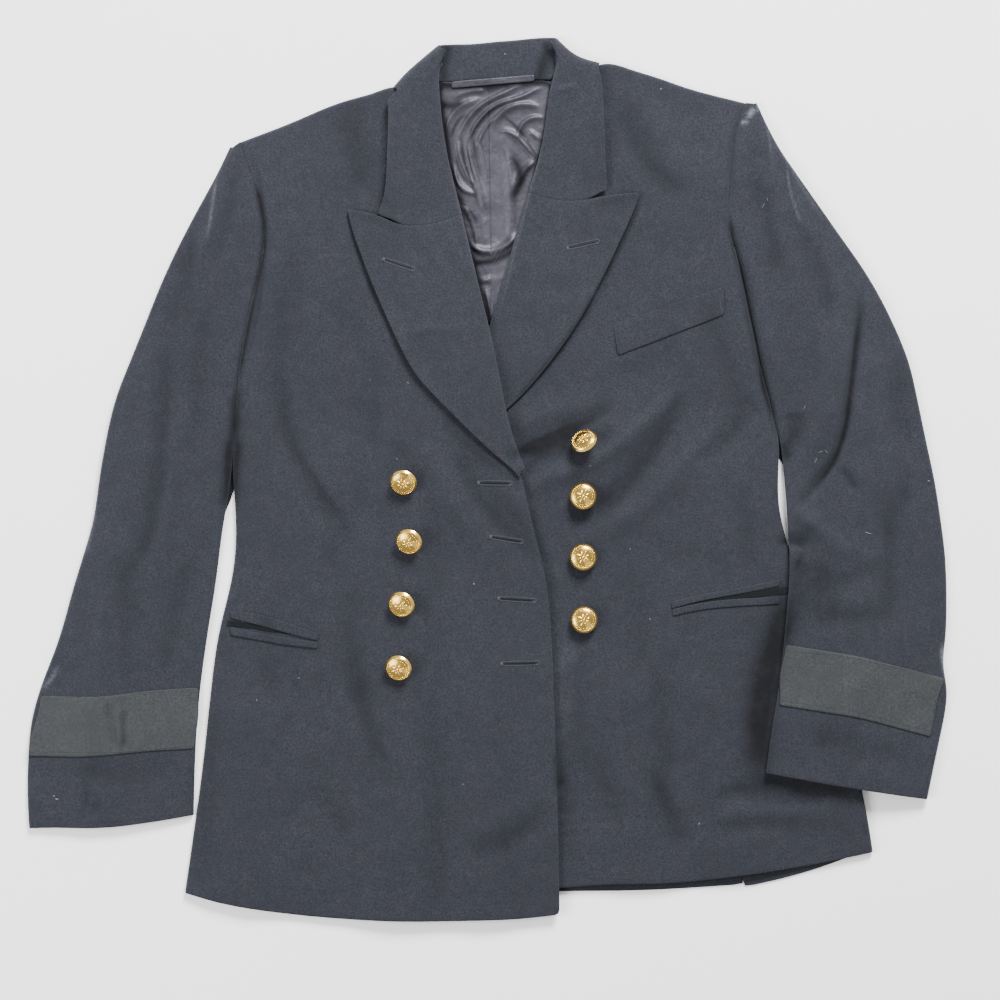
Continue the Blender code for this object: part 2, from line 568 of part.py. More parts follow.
            corner = outer[0].lerp(outer[1], 0.95)
            insets = [0.0] * (ARMHOLE_ROWS - 2) + EASE_INSETS + EASE_INSETS[-1:]
            armhole = shifted(outer, side, insets + [0.0] * (UPPER_ROWS + LOWER_ROWS))
            armhole = [corner] + armhole[1:ARMHOLE_ROWS] + [armhole[ARMHOLE_ROWS] + up]
            jog = [fold[0] + up, seam_line[0] + up + Vector((side * SEAM, 0.0))]
            seam_outer = shifted(seam_line, side, SEAM)[1:]
            seam_outer[-1] = seam_outer[-2].lerp(seam_outer[-1], 0.9)
            outer_line = armhole + jog + seam_outer
            centre = shifted(sample(CENTRE_BACK, len(outer_line) - 1), -side, SEAM / 2.0)
            shoulder_line = shifted(sample(shoulder, 4), -side, SHOULDER_TURN + SHOULDER_SEAM)
            top = [corner] + shoulder_line[1:] + [Vector(neck), centre[0]]
            hem = sample(back_hem, 6)
            hem[0 if side == 1 else -1] = outer_line[-1]
            hem[-1 if side == 1 else 0] = centre[-1]
            if side == 1:
                rows = patch(top, hem, outer_line, centre)
            else:
                rows = patch(top[::-1], hem, centre, outer_line)
            wall("back_" + label, [raised(rows, low)], BACK_CLOTH, self.serge, self.collection)

    def make_lapels(self):
        columns = 5
        count = 14
        for label, side, top, gorge, outer, roll in (
                ("left", 1, LAPEL_TOP_LEFT, GORGE_LEFT, LAPEL_OUTER_LEFT, ROLL_LEFT),
                ("right", -1, LAPEL_TOP_RIGHT, GORGE_RIGHT, LAPEL_OUTER_RIGHT, ROLL_RIGHT)):
            low = self.front_surface[label]
            high = self.lapel_mid(low, LAPEL_CLOTH)
            at_roll = self.at_full_rise(high)
            gorge_line = shifted(stretches((top, 1), (gorge, columns)), -side, SEAM)
            below = [gorge[-1]] + [row for row in roll if row[1] < gorge[-1][1] - 4.0]
            below[-1] = (below[-1][0] - side * 1.0, below[-1][1] + 4.0)
            fold = sample(below, count)
            start = fold_start(fold, side, LAPEL_CLOTH, at_roll, low)
            start[0].y = gorge[-1][1] - SEAM
            outer_line = sample(outer, count)
            outer_line[0] = gorge_line[0]
            gorge_line[-1] = start[0]
            foot = [outer_line[-1].lerp(start[-1], share / (columns + 1)) for share in range(columns + 2)]
            if side == 1:
                rows = raised(patch(gorge_line, foot, outer_line, start), high)
            else:
                rows = patch(gorge_line[::-1], foot[::-1], start, outer_line)
                rows = raised(rows, self.from_right(high))
            turn = fold_under(fold, side, at_roll, low, start)
            wall("lapel_" + label, [rows, turn], LAPEL_CLOTH, self.serge, self.collection)

    @staticmethod
    def at_full_rise(height):
        return lambda x, y, _across=0.0: height(x, y, 1.0)

    @staticmethod
    def from_right(height):
        return lambda x, y, across: height(x, y, 1.0 - across)

    def make_collar(self):
        columns = 5
        count = 8
        stand = COLLAR_CLOTH * 1.5 + LAYER_GAP

        def floor(_x, _y, _across=0.0):
            return COLLAR_CLOTH / 2.0

        def stand_mid(_x, _y, _across=0.0):
            return stand
        for label, side, outer, fold, roll, gorge, limit in (
                ("left", 1, LEAF_OUTER_LEFT, LEAF_FOLD_LEFT, COLLAR_ROLL_LEFT, GORGE_LEFT, -42.5),
                ("right", -1, LEAF_OUTER_RIGHT, LEAF_FOLD_RIGHT, COLLAR_ROLL_RIGHT, GORGE_RIGHT, 59.5)):
            front = self.front_surface[label]
            high = self.lapel_mid(front, COLLAR_CLOTH)
            at_roll = self.at_full_rise(high)

            def low(x, y, _across=0.0, front=front):
                return front(x, y) + (stand - front(x, y)) * smooth((y - STAND_FROM_Y) / STAND_RUN)
            roll_line = sample(roll, count)
            roll_start = fold_start(roll_line, side, COLLAR_CLOTH, at_roll, low)
            roll_start[-1].y = gorge[-1][1] + SEAM
            over = sample(fold, columns)
            over_start = fold_start(over, side, COLLAR_CLOTH, at_roll, floor)
            gorge_line = shifted(sample(gorge, columns), side, SEAM)
            outer_line = sample(outer, count)
            outer_line[0] = over_start[0]
            outer_line[-1] = gorge_line[0]
            roll_start[0] = over_start[-1]
            gorge_line[-1] = roll_start[-1]
            if side == 1:
                rows = raised(patch(over_start, gorge_line, outer_line, roll_start), high)
            else:
                rows = patch(over_start[::-1], gorge_line[::-1], roll_start, outer_line)
                rows = raised(rows, self.from_right(high))
            roll_turn = fold_under(roll_line[1:], side, at_roll, low, roll_start[1:])
            over_fold = fold_under(over[:-1], side, high, floor, over_start[:-1])
            for column, row in zip(over_fold, rows[0] if side == 1 else rows[0][::-1]):
                column[0] = row
            over_turn = turned_cloth(over_fold, over[:-1], side, floor, [COLLAR_TURN] * columns)
            for strip in over_turn:
                strip[-1].x = min(strip[-1].x, limit) if side == 1 else max(strip[-1].x, limit)
            wall("collar_" + label, [rows, roll_turn, over_fold, over_turn], COLLAR_CLOTH, self.serge,
                 self.collection)

        roll_line = sample(STAND_ROLL, count)
        start = fold_start(roll_line, 1, COLLAR_CLOTH, stand_mid, floor)
        seam = sample(STAND_SEAM, count)
        ends = [[start[0], Vector(STAND_ENDS[0]), seam[0]], [start[-1], Vector(STAND_ENDS[1]), seam[-1]]]
        rows = raised(patch(start, seam, *ends), stand_mid)
        fold = fold_under(roll_line, 1, stand_mid, floor, start)
        fall = turned_cloth(fold, roll_line, 1, floor, [FALL_WIDTH] * (count + 1))
        for strip, point in zip(fall, roll_line):
            strip[-1].x = point.x
        wall("collar_back", [rows, fold, fall], COLLAR_CLOTH, self.serge, self.collection)

    def make_sleeves(self):
        ease_from = ARMHOLE_ROWS - EASE_ROWS
        body_top = BACK_CLOTH + FRONT_CLEAR + FRONT_CLOTH + LAYER_GAP + 1.0
        self.sleeve_surface = {}
        for label, side, armhole, upper, inner_low, outer, hem in (
                ("left", 1, ARMHOLE_LEFT, UPPER_SIDE_LEFT, SLEEVE_INNER_LEFT, SLEEVE_OUTER_LEFT,
                 CUFF_HEM_LEFT),
                ("right", -1, ARMHOLE_RIGHT, UPPER_SIDE_RIGHT, SLEEVE_INNER_RIGHT, SLEEVE_OUTER_RIGHT,
                 CUFF_HEM_RIGHT)):

            def low(x, y, _across=0.0, side=side):
                crossing = smooth((CROSSING_TOP_Y - y) / CROSSING_RUN) if side == -1 else 0.0
                if not crossing:
                    return SLEEVE_CLOTH / 2.0
                return SLEEVE_CLOTH / 2.0 + crossing * lifted(self.body_right, x, y, body_top)

            def high(x, y, across, low=low):
                puff = SLEEVE_PUFF * math.sin(math.pi * min(1.0, max(0.0, across)))
                return low(x, y) + SLEEVE_CLOTH + SLEEVE_CLEAR + puff + relief(SLEEVE_FOLDS, x, y)
            inner_line = stretches((armhole, ARMHOLE_ROWS), (upper, UPPER_ROWS), (inner_low, SLEEVE_ROWS))
            inner_line = shifted(inner_line, -side, SLEEVE_SEAM)
            outer_line = sample(outer, len(inner_line) - 1)
            turn = turns(inner_line, outer_line, SLEEVE_TURN)
            outer_start = fold_start(outer_line, -side, SLEEVE_CLOTH, high, low)
            fold = inner_line[ease_from:]
            fold_line = fold_start(fold, side, SLEEVE_CLOTH, high, low, EASE_ROWS)
            inner_start = inner_line[:ease_from] + fold_line
            top = [outer_start[0].lerp(inner_start[0], share / SLEEVE_COLUMNS)
                   for share in range(SLEEVE_COLUMNS + 1)]
            hem_line = sample(hem, SLEEVE_COLUMNS)
            if side == 1:
                hem_line[0] = outer_start[-1]
                hem_line[-1] = inner_start[-1]
                rows = patch(top, hem_line, outer_start, inner_start)
            else:
                hem_line[-1] = outer_start[-1]
                hem_line[0] = inner_start[-1]
                rows = patch(top[::-1], hem_line, inner_start, outer_start)
            rows = raised(rows, high)
            outer_fold = fold_under(outer_line, -side, high, low, outer_start)
            outer_turn = turned_cloth(outer_fold, outer_line, -side, low, turn)
            inner_fold = fold_under(fold, side, high, low, fold_line, EASE_ROWS)
            inner_turn = turned_cloth(inner_fold[EASE_ROWS:], fold[EASE_ROWS:], side, low,
                                      turn[ARMHOLE_ROWS:])
            wall("top_sleeve_" + label, [rows, outer_fold, outer_turn, inner_fold, inner_turn],
                 SLEEVE_CLOTH, self.serge, self.collection)
            self.sleeve_surface[label] = loft_height(rows, high)

            inset = [amount + SEAM for amount in turn]
            eased = [0.0] * (ARMHOLE_ROWS - 2) + EASE_INSETS + inset[ARMHOLE_ROWS:]
            under_outer = shifted(outer_line, side, inset)
            under_inner = shifted(inner_line, -side, eased)
            top = [under_outer[0].lerp(under_inner[0], share / 3) for share in range(4)]
            foot = [under_outer[-1].lerp(under_inner[-1], share / 3) for share in range(4)]
            if side == 1:
                rows = patch(top, foot, under_outer, under_inner)
            else:
                rows = patch(top[::-1], foot[::-1], under_inner, under_outer)
            wall("under_sleeve_" + label, [raised(rows, low)], SLEEVE_CLOTH, self.serge,
                 self.collection)

    def make_lining(self):
        back = self.floor(BACK_CLOTH)
        lift = BACK_CLOTH / 2.0 + SEAM + LINING_CLOTH / 2.0

        def height(x, y, _across=0.0):
            return back(x, y) + lift
        rows_down = 12
        for label, side, outer in (("left", 1, LINING_OUTER_LEFT), ("right", -1, LINING_OUTER_RIGHT)):
            edge = sample(outer, rows_down)
            centre = shifted(sample(LINING_SEAM, rows_down), -side, SEAM / 2.0)
            top = [edge[0].lerp(centre[0], share / 3) for share in range(4)]
            foot = [edge[-1].lerp(centre[-1], share / 3) for share in range(4)]
            if side == 1:
                rows = patch(top, foot, edge, centre)
            else:
                rows = patch(top[::-1], foot[::-1], centre, edge)
            wall("lining_" + label, [raised(rows, height)], LINING_CLOTH, self.satin, self.collection)
        line = sample(HANGER, 6)
        half = HANGER_WIDTH / 2.0
        level = COLLAR_CLOTH * 2.0 + LAYER_GAP + SEAM + HANGER_CLOTH / 2.0

        def loop_height(x, y, _across=0.0):
            return max(level, height(x, y) + LINING_CLOTH / 2.0 + SEAM + HANGER_CLOTH / 2.0)
        rows = raised([shifted(line, 1, half), shifted(line, -1, half)], loop_height)
        wall("hanger_loop", [rows], HANGER_CLOTH, self.satin, self.collection)

    def lie_on(self, name, top, foot, columns, surface, under_cloth, thickness, cloth_material, rows=1):
        """A flat strip between two lines, made from the points of the panel it lies on."""
        high = sample(top, columns)
        low = sample(foot, columns)
        lift = under_cloth / 2.0 + LAID_ON_GAP + thickness / 2.0
        lines = [[a.lerp(b, share / rows) for a, b in zip(high, low)] for share in range(rows + 1)]
        wall(name, [raised(lines, lambda x, y, _across: surface(x, y) + lift)], thickness,
             cloth_material, self.collection)

    def make_trim(self):
        for name, (top, foot) in JETS.items():
            surface = self.front_surface[name.rsplit("_", 1)[1]]
            self.lie_on(name, top, foot, 7, surface, FRONT_CLOTH, JET_CLOTH, self.serge)
        self.lie_on("breast_welt", WELT_TOP, WELT_FOOT, 7, self.front_surface["right"], FRONT_CLOTH,
                    JET_CLOTH, self.serge, 2)
        for label, top, foot in (("left", BRAID_TOP_LEFT, BRAID_FOOT_LEFT),
                                 ("right", BRAID_TOP_RIGHT, BRAID_FOOT_RIGHT)):
            self.lie_on("cuff_braid_" + label, top, foot, 12, self.sleeve_surface[label], SLEEVE_CLOTH,
                        BRAID_CLOTH, self.braid, 4)

    def make_buttons(self):
        back = BUTTON_SHANK
        crown = back + BUTTON_RIM + BUTTON_DOME
        profile = [(0.0, crown)]
        for step in range(1, 5):
            angle = math.pi / 2.0 * step / 4
            profile.append(((BUTTON_RADIUS - 0.6) * math.sin(angle),
                            back + BUTTON_RIM + BUTTON_DOME * math.cos(angle)))
        profile += [(BUTTON_RADIUS, back + BUTTON_RIM / 2.0), (BUTTON_RADIUS - 0.8, back),
                    (BUTTON_SHANK_RADIUS, back), (BUTTON_SHANK_RADIUS, 0.0), (0.0, 0.0)]
        numbers = {"left": 0, "right": 0}
        for side, x, y, lean, heading in BUTTONS:
            numbers[side] += 1
            name = "button_%s_%d" % (side, numbers[side])
            mesh = bpy.data.meshes.new(name)
            points = [(radius * MM, 0.0, height * MM) for radius, height in profile]
            mesh.from_pydata(points, [(k, k + 1) for k in range(len(points) - 1)], [])
            thing = new_object(name, mesh, self.gilt, self.collection)
            turned = thing.modifiers.new("turned", "SCREW")
            turned.steps = BUTTON_SIDES
            turned.render_steps = BUTTON_SIDES
            turned.use_merge_vertices = True
            turned.merge_threshold = 0.00001
            turned.use_smooth_shade = True
            way = Vector((math.cos(math.radians(heading)), math.sin(math.radians(heading)), 0.0))
            facing = way * math.sin(math.radians(lean))
            facing.z = math.cos(math.radians(lean))
            surface = self.front_surface[side]
            foot_rise = (FRONT_CLOTH / 2.0 + LAID_ON_GAP
                         + BUTTON_SHANK_RADIUS * math.sin(math.radians(lean)))
            middle = back + BUTTON_RIM
            foot = Vector((x, y, surface(x, y) + foot_rise)) - Vector((facing.x, facing.y, 0.0)) * middle
            thing.rotation_euler = facing.to_track_quat("Z", "Y").to_euler()
            thing.location = foot * MM


def centre_jacket(collection):
    """Puts the middle of the jacket's box at the origin and its underside at Z 0."""
    bpy.context.view_layer.update()
    depsgraph = bpy.context.evaluated_depsgraph_get()
    corners = []
    for thing in collection.objects:
        shown = thing.evaluated_get(depsgraph)
        mesh = shown.to_mesh()
        corners += [shown.matrix_world @ vert.co for vert in mesh.vertices]
        shown.to_mesh_clear()
    low = Vector([min(corner[axis] for corner in corners) for axis in range(3)])
    high = Vector([max(corner[axis] for corner in corners) for axis in range(3)])
    middle = Vector(((low.x + high.x) / 2.0, (low.y + high.y) / 2.0, low.z))
    for thing in collection.objects:
        thing.location -= middle


def build_jacket():
    clear_scene()
    jacket = Jacket()
    jacket.make_fronts()
    jacket.make_backs()
    jacket.make_lapels()
    jacket.make_collar()
    jacket.make_sleeves()
    jacket.make_lining()
    jacket.make_trim()
    jacket.make_buttons()
    centre_jacket(jacket.collection)


build_jacket()
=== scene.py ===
import math

import bmesh
import bpy
import numpy as np
from mathutils import Matrix, Vector
from mathutils.bvhtree import BVHTree


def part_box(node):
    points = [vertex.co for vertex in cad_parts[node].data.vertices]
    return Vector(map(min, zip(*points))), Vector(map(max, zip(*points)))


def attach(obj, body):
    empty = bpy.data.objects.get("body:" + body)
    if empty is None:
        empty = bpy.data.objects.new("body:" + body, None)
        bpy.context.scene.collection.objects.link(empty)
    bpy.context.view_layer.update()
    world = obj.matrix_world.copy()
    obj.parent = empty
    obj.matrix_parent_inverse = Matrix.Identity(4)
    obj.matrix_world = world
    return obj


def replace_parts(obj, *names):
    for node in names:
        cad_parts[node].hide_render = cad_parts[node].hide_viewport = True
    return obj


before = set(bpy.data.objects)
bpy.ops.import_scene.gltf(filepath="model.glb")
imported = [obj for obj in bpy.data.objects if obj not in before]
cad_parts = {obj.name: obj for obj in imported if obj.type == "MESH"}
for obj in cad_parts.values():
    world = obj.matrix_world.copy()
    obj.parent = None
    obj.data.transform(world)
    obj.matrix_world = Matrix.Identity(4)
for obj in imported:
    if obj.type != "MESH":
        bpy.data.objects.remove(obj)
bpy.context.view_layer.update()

bl_info = {
    "name": "Uniform dress jacket",
    "version": (1, 0, 0),
    "blender": (4, 5, 0),
    "location": "3D View > Sidebar > Jacket",
    "description": "Cloth, trim, buttons and stage of a uniform dress jacket laid out flat",
    "category": "Object",
}

# Places are read on a grid laid over the jacket, in squares right and down; widths and heights
# are in millimetres
SQUARE = 0.00086
MIDDLE = (488.0, 479.16)
MM = 0.001

# Where cloth that lies on the floor ends and cloth that is held up by it begins, in millimetres
FLOOR_CLOTH = 1.8
UPPER_CLOTH = 3.4
# No trough goes deeper than this, in millimetres
DEEPEST = 0.7
# Share of a crease's run over which each of its ends fades, where its row gives none
TAPER = 0.28

# Crease tables: points on the grid, width to the left of the way they run, width to the right,
# height, and in some rows the share over which the ends fade
UNDERSIDE = [
    ([(300, 260), (330, 420), (318, 620), (330, 800)], 9, 14, 1.3),
    ([(640, 240), (612, 430), (628, 640)], 12, 8, 1.2),
    ([(420, 520), (452, 660), (436, 840)], 10, 10, 1.0),
    ([(165, 330), (150, 480), (118, 650)], 8, 12, 1.3),
    ([(838, 330), (862, 480), (866, 640)], 12, 8, 1.3),
    ([(540, 610), (566, 740), (552, 850)], 9, 12, 1.0),
]
FULLNESS = [
    ([(222, 110), (208, 190), (180, 270), (157, 360), (142, 460), (127, 560), (115, 650), (110, 740),
      (110, 900)], 38, 36, 8.0),
    ([(760, 80), (775, 160), (806, 250), (832, 340), (852, 430), (864, 520), (864, 620), (856, 700),
      (846, 880)], 36, 40, 8.0),
    ([(235, 110), (262, 190), (262, 280), (246, 360), (240, 440)], 30, 26, 3.4),
    ([(742, 80), (728, 170), (738, 270), (758, 360), (776, 440)], 30, 26, 3.6),
    ([(345, 90), (310, 210), (300, 320), (318, 440)], 66, 44, 5.5),
    ([(650, 90), (690, 220), (690, 330), (664, 440)], 44, 62, 5.5),
    ([(330, 420), (300, 560), (318, 680)], 44, 56, 4.0),
    ([(700, 410), (716, 540), (700, 680)], 56, 36, 4.0),
    ([(262, 640), (250, 780), (246, 970)], 26, 36, 4.2),
    ([(372, 620), (384, 780), (390, 980)], 36, 36, 4.0),
    ([(478, 620), (488, 780), (494, 980)], 28, 28, 3.4),
    ([(618, 620), (628, 760), (640, 950)], 36, 36, 4.0),
    ([(712, 620), (726, 760), (752, 940)], 32, 28, 3.6),
    ([(410, 240), (440, 330), (480, 440)], 34, 26, 3.0),
    ([(580, 240), (552, 320), (520, 410)], 26, 36, 3.0),
    ([(500, 520), (560, 486), (620, 446), (690, 380)], 34, 30, 3.6),
    ([(250, 380), (290, 470), (330, 570)], 26, 30, 1.6),
]
CREASES = [
    # Left front
    ([(446, 430), (464, 466), (482, 500), (506, 524), (560, 576)], 7, 8, -4.6),
    ([(420, 430), (440, 480), (464, 522), (505, 566)], 13, 11, 2.6),
    ([(478, 450), (504, 490), (536, 524)], 8, 8, 2.4),
    ([(277, 340), (282, 400), (291, 440), (310, 480), (344, 528), (360, 560)], 5, 10, -4.6),
    ([(371, 396), (371, 425), (374, 456)], 8, 11, -2.6),
    ([(392, 436), (404, 460), (414, 484)], 6, 9, -2.6),
    ([(300, 400), (320, 460), (346, 520)], 12, 10, 1.4),
    ([(250, 320), (243, 380), (238, 440)], 6, 10, 2.0),
    ([(352, 96), (356, 150), (366, 206)], 12, 16, -4.0),
    ([(300, 230), (284, 310), (276, 390)], 14, 9, -2.4),
    ([(424, 446), (434, 500), (440, 560), (430, 620)], 7, 12, -2.0),
    ([(420, 590), (436, 640), (440, 700)], 9, 12, -1.4),
    ([(268, 600), (266, 650), (270, 710)], 8, 10, -2.4),
    ([(350, 626), (361, 690), (374, 740), (392, 800)], 7, 11, -3.6),
    ([(336, 660), (346, 716), (362, 780)], 9, 8, 1.8),
    ([(466, 862), (508, 838), (553, 804)], 6, 9, -4.6),
    ([(458, 842), (500, 820), (546, 786)], 9, 7, 2.0),
    ([(300, 780), (330, 800), (352, 850)], 8, 10, -2.2),
    ([(352, 560), (350, 640), (362, 740)], 9, 10, -2.0),
    ([(430, 670), (438, 790), (436, 940)], 9, 12, -3.2),
    ([(500, 700), (506, 800), (508, 920)], 8, 9, -2.0),
    ([(216, 700), (210, 800), (204, 900)], 7, 12, -2.0),
    ([(240, 660), (300, 690), (380, 690), (470, 720)], 14, 14, -1.3),
    ([(366, 470), (340, 540), (330, 600)], 9, 12, -1.6),
    ([(320, 300), (360, 340), (390, 410)], 12, 12, -1.8),
    # Right front
    ([(498, 463), (520, 452), (548, 440), (590, 420), (616, 402)], 5.5, 5, -9.5),
    ([(500, 430), (540, 418), (590, 396)], 11, 8, 3.4),
    ([(510, 492), (560, 474), (604, 456), (648, 422), (684, 380)], 7, 9, 5.2),
    ([(556, 528), (598, 508), (632, 474), (662, 432), (690, 384)], 6, 9, -7.6),
    ([(590, 540), (636, 514), (676, 476), (716, 424)], 9, 11, 4.0),
    ([(690, 470), (724, 440), (756, 396)], 8, 10, -3.6),
    ([(614, 92), (636, 132), (654, 178), (694, 202)], 8, 11, -3.8),
    ([(640, 88), (668, 140), (690, 184)], 10, 12, 1.8),
    ([(700, 290), (722, 360), (748, 430)], 9, 12, -2.2),
    ([(690, 340), (650, 372), (600, 384)], 12, 12, -1.6),
    ([(740, 470), (748, 530), (752, 590)], 7, 12, -2.0),
    ([(800, 560), (772, 640), (757, 700), (748, 780)], 13, 9, -3.8),
    ([(656, 650), (664, 740), (672, 850)], 9, 11, -3.4),
    ([(690, 640), (700, 720), (704, 800)], 8, 9, 2.0),
    ([(626, 560), (640, 620), (636, 690)], 8, 9, -2.0),
    ([(650, 762), (658, 784), (672, 816), (690, 852)], 5, 9, -4.8),
    ([(664, 756), (674, 786), (690, 820)], 7, 7, 2.0),
    ([(704, 804), (740, 790), (790, 798), (832, 794)], 6, 8, -4.0),
    ([(706, 818), (756, 808), (836, 814)], 6, 7, 0.9),
    ([(700, 834), (760, 822), (842, 832)], 6, 8, -2.8),
    ([(580, 640), (574, 720), (580, 820)], 8, 10, -1.6),
    ([(640, 540), (690, 560), (740, 560)], 10, 12, -1.2),
    ([(586, 748), (600, 772), (612, 800), (616, 830)], 5, 7, -3.0),
    ([(606, 748), (620, 780), (630, 814)], 7, 7, 1.6),
    # Left sleeve
    ([(248, 140), (261, 196), (266, 238), (264, 280), (256, 328), (242, 390)], 2.6, 2.8, -3.4),
    ([(172, 310), (168, 370), (164, 440), (161, 490), (152, 540), (130, 576), (119, 620)], 6, 9, -4.2),
    ([(192, 216), (190, 280), (186, 350)], 6, 8, -2.2),
    ([(222, 250), (218, 310), (212, 378)], 6, 6, 2.0),
    ([(188, 380), (180, 470), (166, 530), (158, 600)], 6, 9, 2.2),
    ([(214, 280), (202, 370), (190, 470)], 7, 9, -2.8),
    ([(120, 540), (129, 620), (127, 700)], 9, 7, -2.2),
    ([(106, 580), (104, 640), (100, 690)], 6, 7, 2.2),
    ([(196, 540), (180, 610), (160, 690)], 7, 9, -2.8),
    ([(222, 170), (215, 220), (200, 270)], 5, 6, 2.6),
    ([(234, 165), (229, 220), (214, 280)], 5, 6, -2.6),
    ([(196, 230), (178, 300), (160, 350)], 8, 8, -1.8),
    ([(60, 770), (130, 778), (196, 766)], 11, 9, -2.0),
    ([(107, 700), (111, 722), (115, 742), (116, 756)], 2.4, 2.0, -2.4),
    ([(118, 702), (121, 730), (121, 754)], 2.2, 2.2, 1.6),
    ([(125, 708), (127, 735), (125, 754)], 1.8, 2.2, -2.2),
    ([(88, 784), (86, 806), (84, 824)], 2.0, 2.4, -2.2),
    ([(90, 700), (100, 760), (92, 830)], 8, 8, -1.6),
    # Right sleeve
    ([(740, 104), (731, 160), (727, 220)], 2.8, 2.8, -3.2),
    ([(727, 210), (736, 250), (747, 300), (756, 345), (766, 395), (784, 460)], 3.0, 3.4, -5.4),
    ([(745, 240), (756, 290), (768, 340), (778, 390)], 5, 5, 2.0),
    ([(863, 278), (858, 336), (851, 390), (846, 430), (835, 462), (817, 484), (784, 520)], 3.0, 4.6, -8.0),
    ([(842, 310), (834, 380), (824, 430), (800, 476)], 8, 10, 4.2),
    ([(870, 330), (868, 400), (856, 460)], 9, 7, 2.0),
    ([(784, 452), (794, 436), (796, 410)], 9, 11, -3.4),
    ([(840, 466), (848, 480), (856, 494)], 3.4, 4.4, -3.4),
    ([(888, 548), (894, 516), (904, 484)], 7, 9, -2.6),
    ([(806, 556), (822, 600), (824, 640)], 17, 20, -2.6),
    ([(776, 546), (790, 537), (812, 546)], 3.6, 4, -5.2),
    ([(800, 503), (826, 540), (862, 556)], 7, 10, 3.0),
    ([(800, 566), (828, 586), (858, 576), (886, 560)], 9, 10, -2.2),
    ([(766, 112), (772, 160), (768, 210)], 4, 6, 2.6),
    ([(788, 150), (793, 200), (808, 244)], 4.5, 6, 2.6),
    ([(748, 160), (770, 230), (778, 300)], 7, 8, -3.2),
    ([(738, 168), (752, 160), (764, 152)], 5, 6, -1.6),
    ([(798, 220), (822, 280), (834, 330)], 7, 10, -2.8),
    ([(894, 350), (904, 440), (910, 530)], 7, 10, -2.8),
    ([(874, 470), (890, 560), (884, 640)], 8, 10, -3.4),
    ([(900, 420), (914, 500), (916, 590)], 6, 7, 2.0),
    ([(786, 500), (802, 520), (820, 530)], 5, 6, 2.4),
    ([(796, 556), (800, 572), (790, 592)], 3.4, 4.4, -3.4),
    ([(812, 610), (850, 622), (896, 610)], 8, 8, -2.0),
    ([(820, 640), (830, 700), (822, 790)], 10, 10, -1.6),
    ([(790, 735), (850, 748), (920, 768)], 11, 10, -1.8),
]
# Only what lies on the right sleeve's side of the body: the sleeve's own stand above it
SLEEVE_STAND = [
    ([(776, 540), (770, 640), (764, 700), (758, 820)], 16, 26, 3.4),
    ([(730, 784), (780, 788), (840, 794)], 10, 12, 3.0),
]
# Left front's edge, which stands off the right front
EDGE_STAND = [
    ([(514, 440), (526, 484), (529, 522), (542, 560), (551, 610), (555, 690), (558, 780), (560, 940)],
     10, 9, 3.6),
]
RIGHT_LAPEL_STAND = [
    ([(656, 178), (644, 206), (620, 254), (590, 306), (556, 358), (528, 400)], 9, 10, 3.0),
    ([(608, 36), (608, 110), (611, 160), (616, 214)], 12, 16, 5.0),
    ([(586, 203), (610, 197), (650, 190)], 5, 5, 1.4),
    ([(562, 226), (546, 270), (520, 326)], 6, 6, 0.9),
    ([(520, 306), (560, 312), (596, 290)], 8, 7, 0.8),
    ([(570, 110), (584, 140), (586, 180)], 9, 7, 0.9),
    ([(553, 90), (564, 90), (580, 84)], 2.4, 3.4, 1.2),
]
LEFT_LAPEL_STAND = [
    ([(330, 190), (346, 236), (364, 286), (392, 352), (428, 406), (470, 448), (520, 486)], 10, 9, 3.4),
    ([(382, 70), (383, 140), (382, 190), (366, 224)], 16, 12, 6.4),
    ([(344, 208), (380, 214), (412, 226)], 5, 6, 1.0),
    ([(396, 200), (430, 214), (462, 206)], 7, 9, -0.5),
    ([(396, 338), (430, 328), (476, 331)], 4, 5, 1.1),
    ([(414, 234), (436, 256), (454, 284)], 6, 6, 1.2),
    ([(438, 214), (452, 240), (466, 282)], 4, 5, 1.6),
    ([(432, 120), (424, 150), (428, 190)], 9, 8, 1.0),
    ([(450, 400), (476, 420), (500, 452)], 6, 8, 1.0),
]
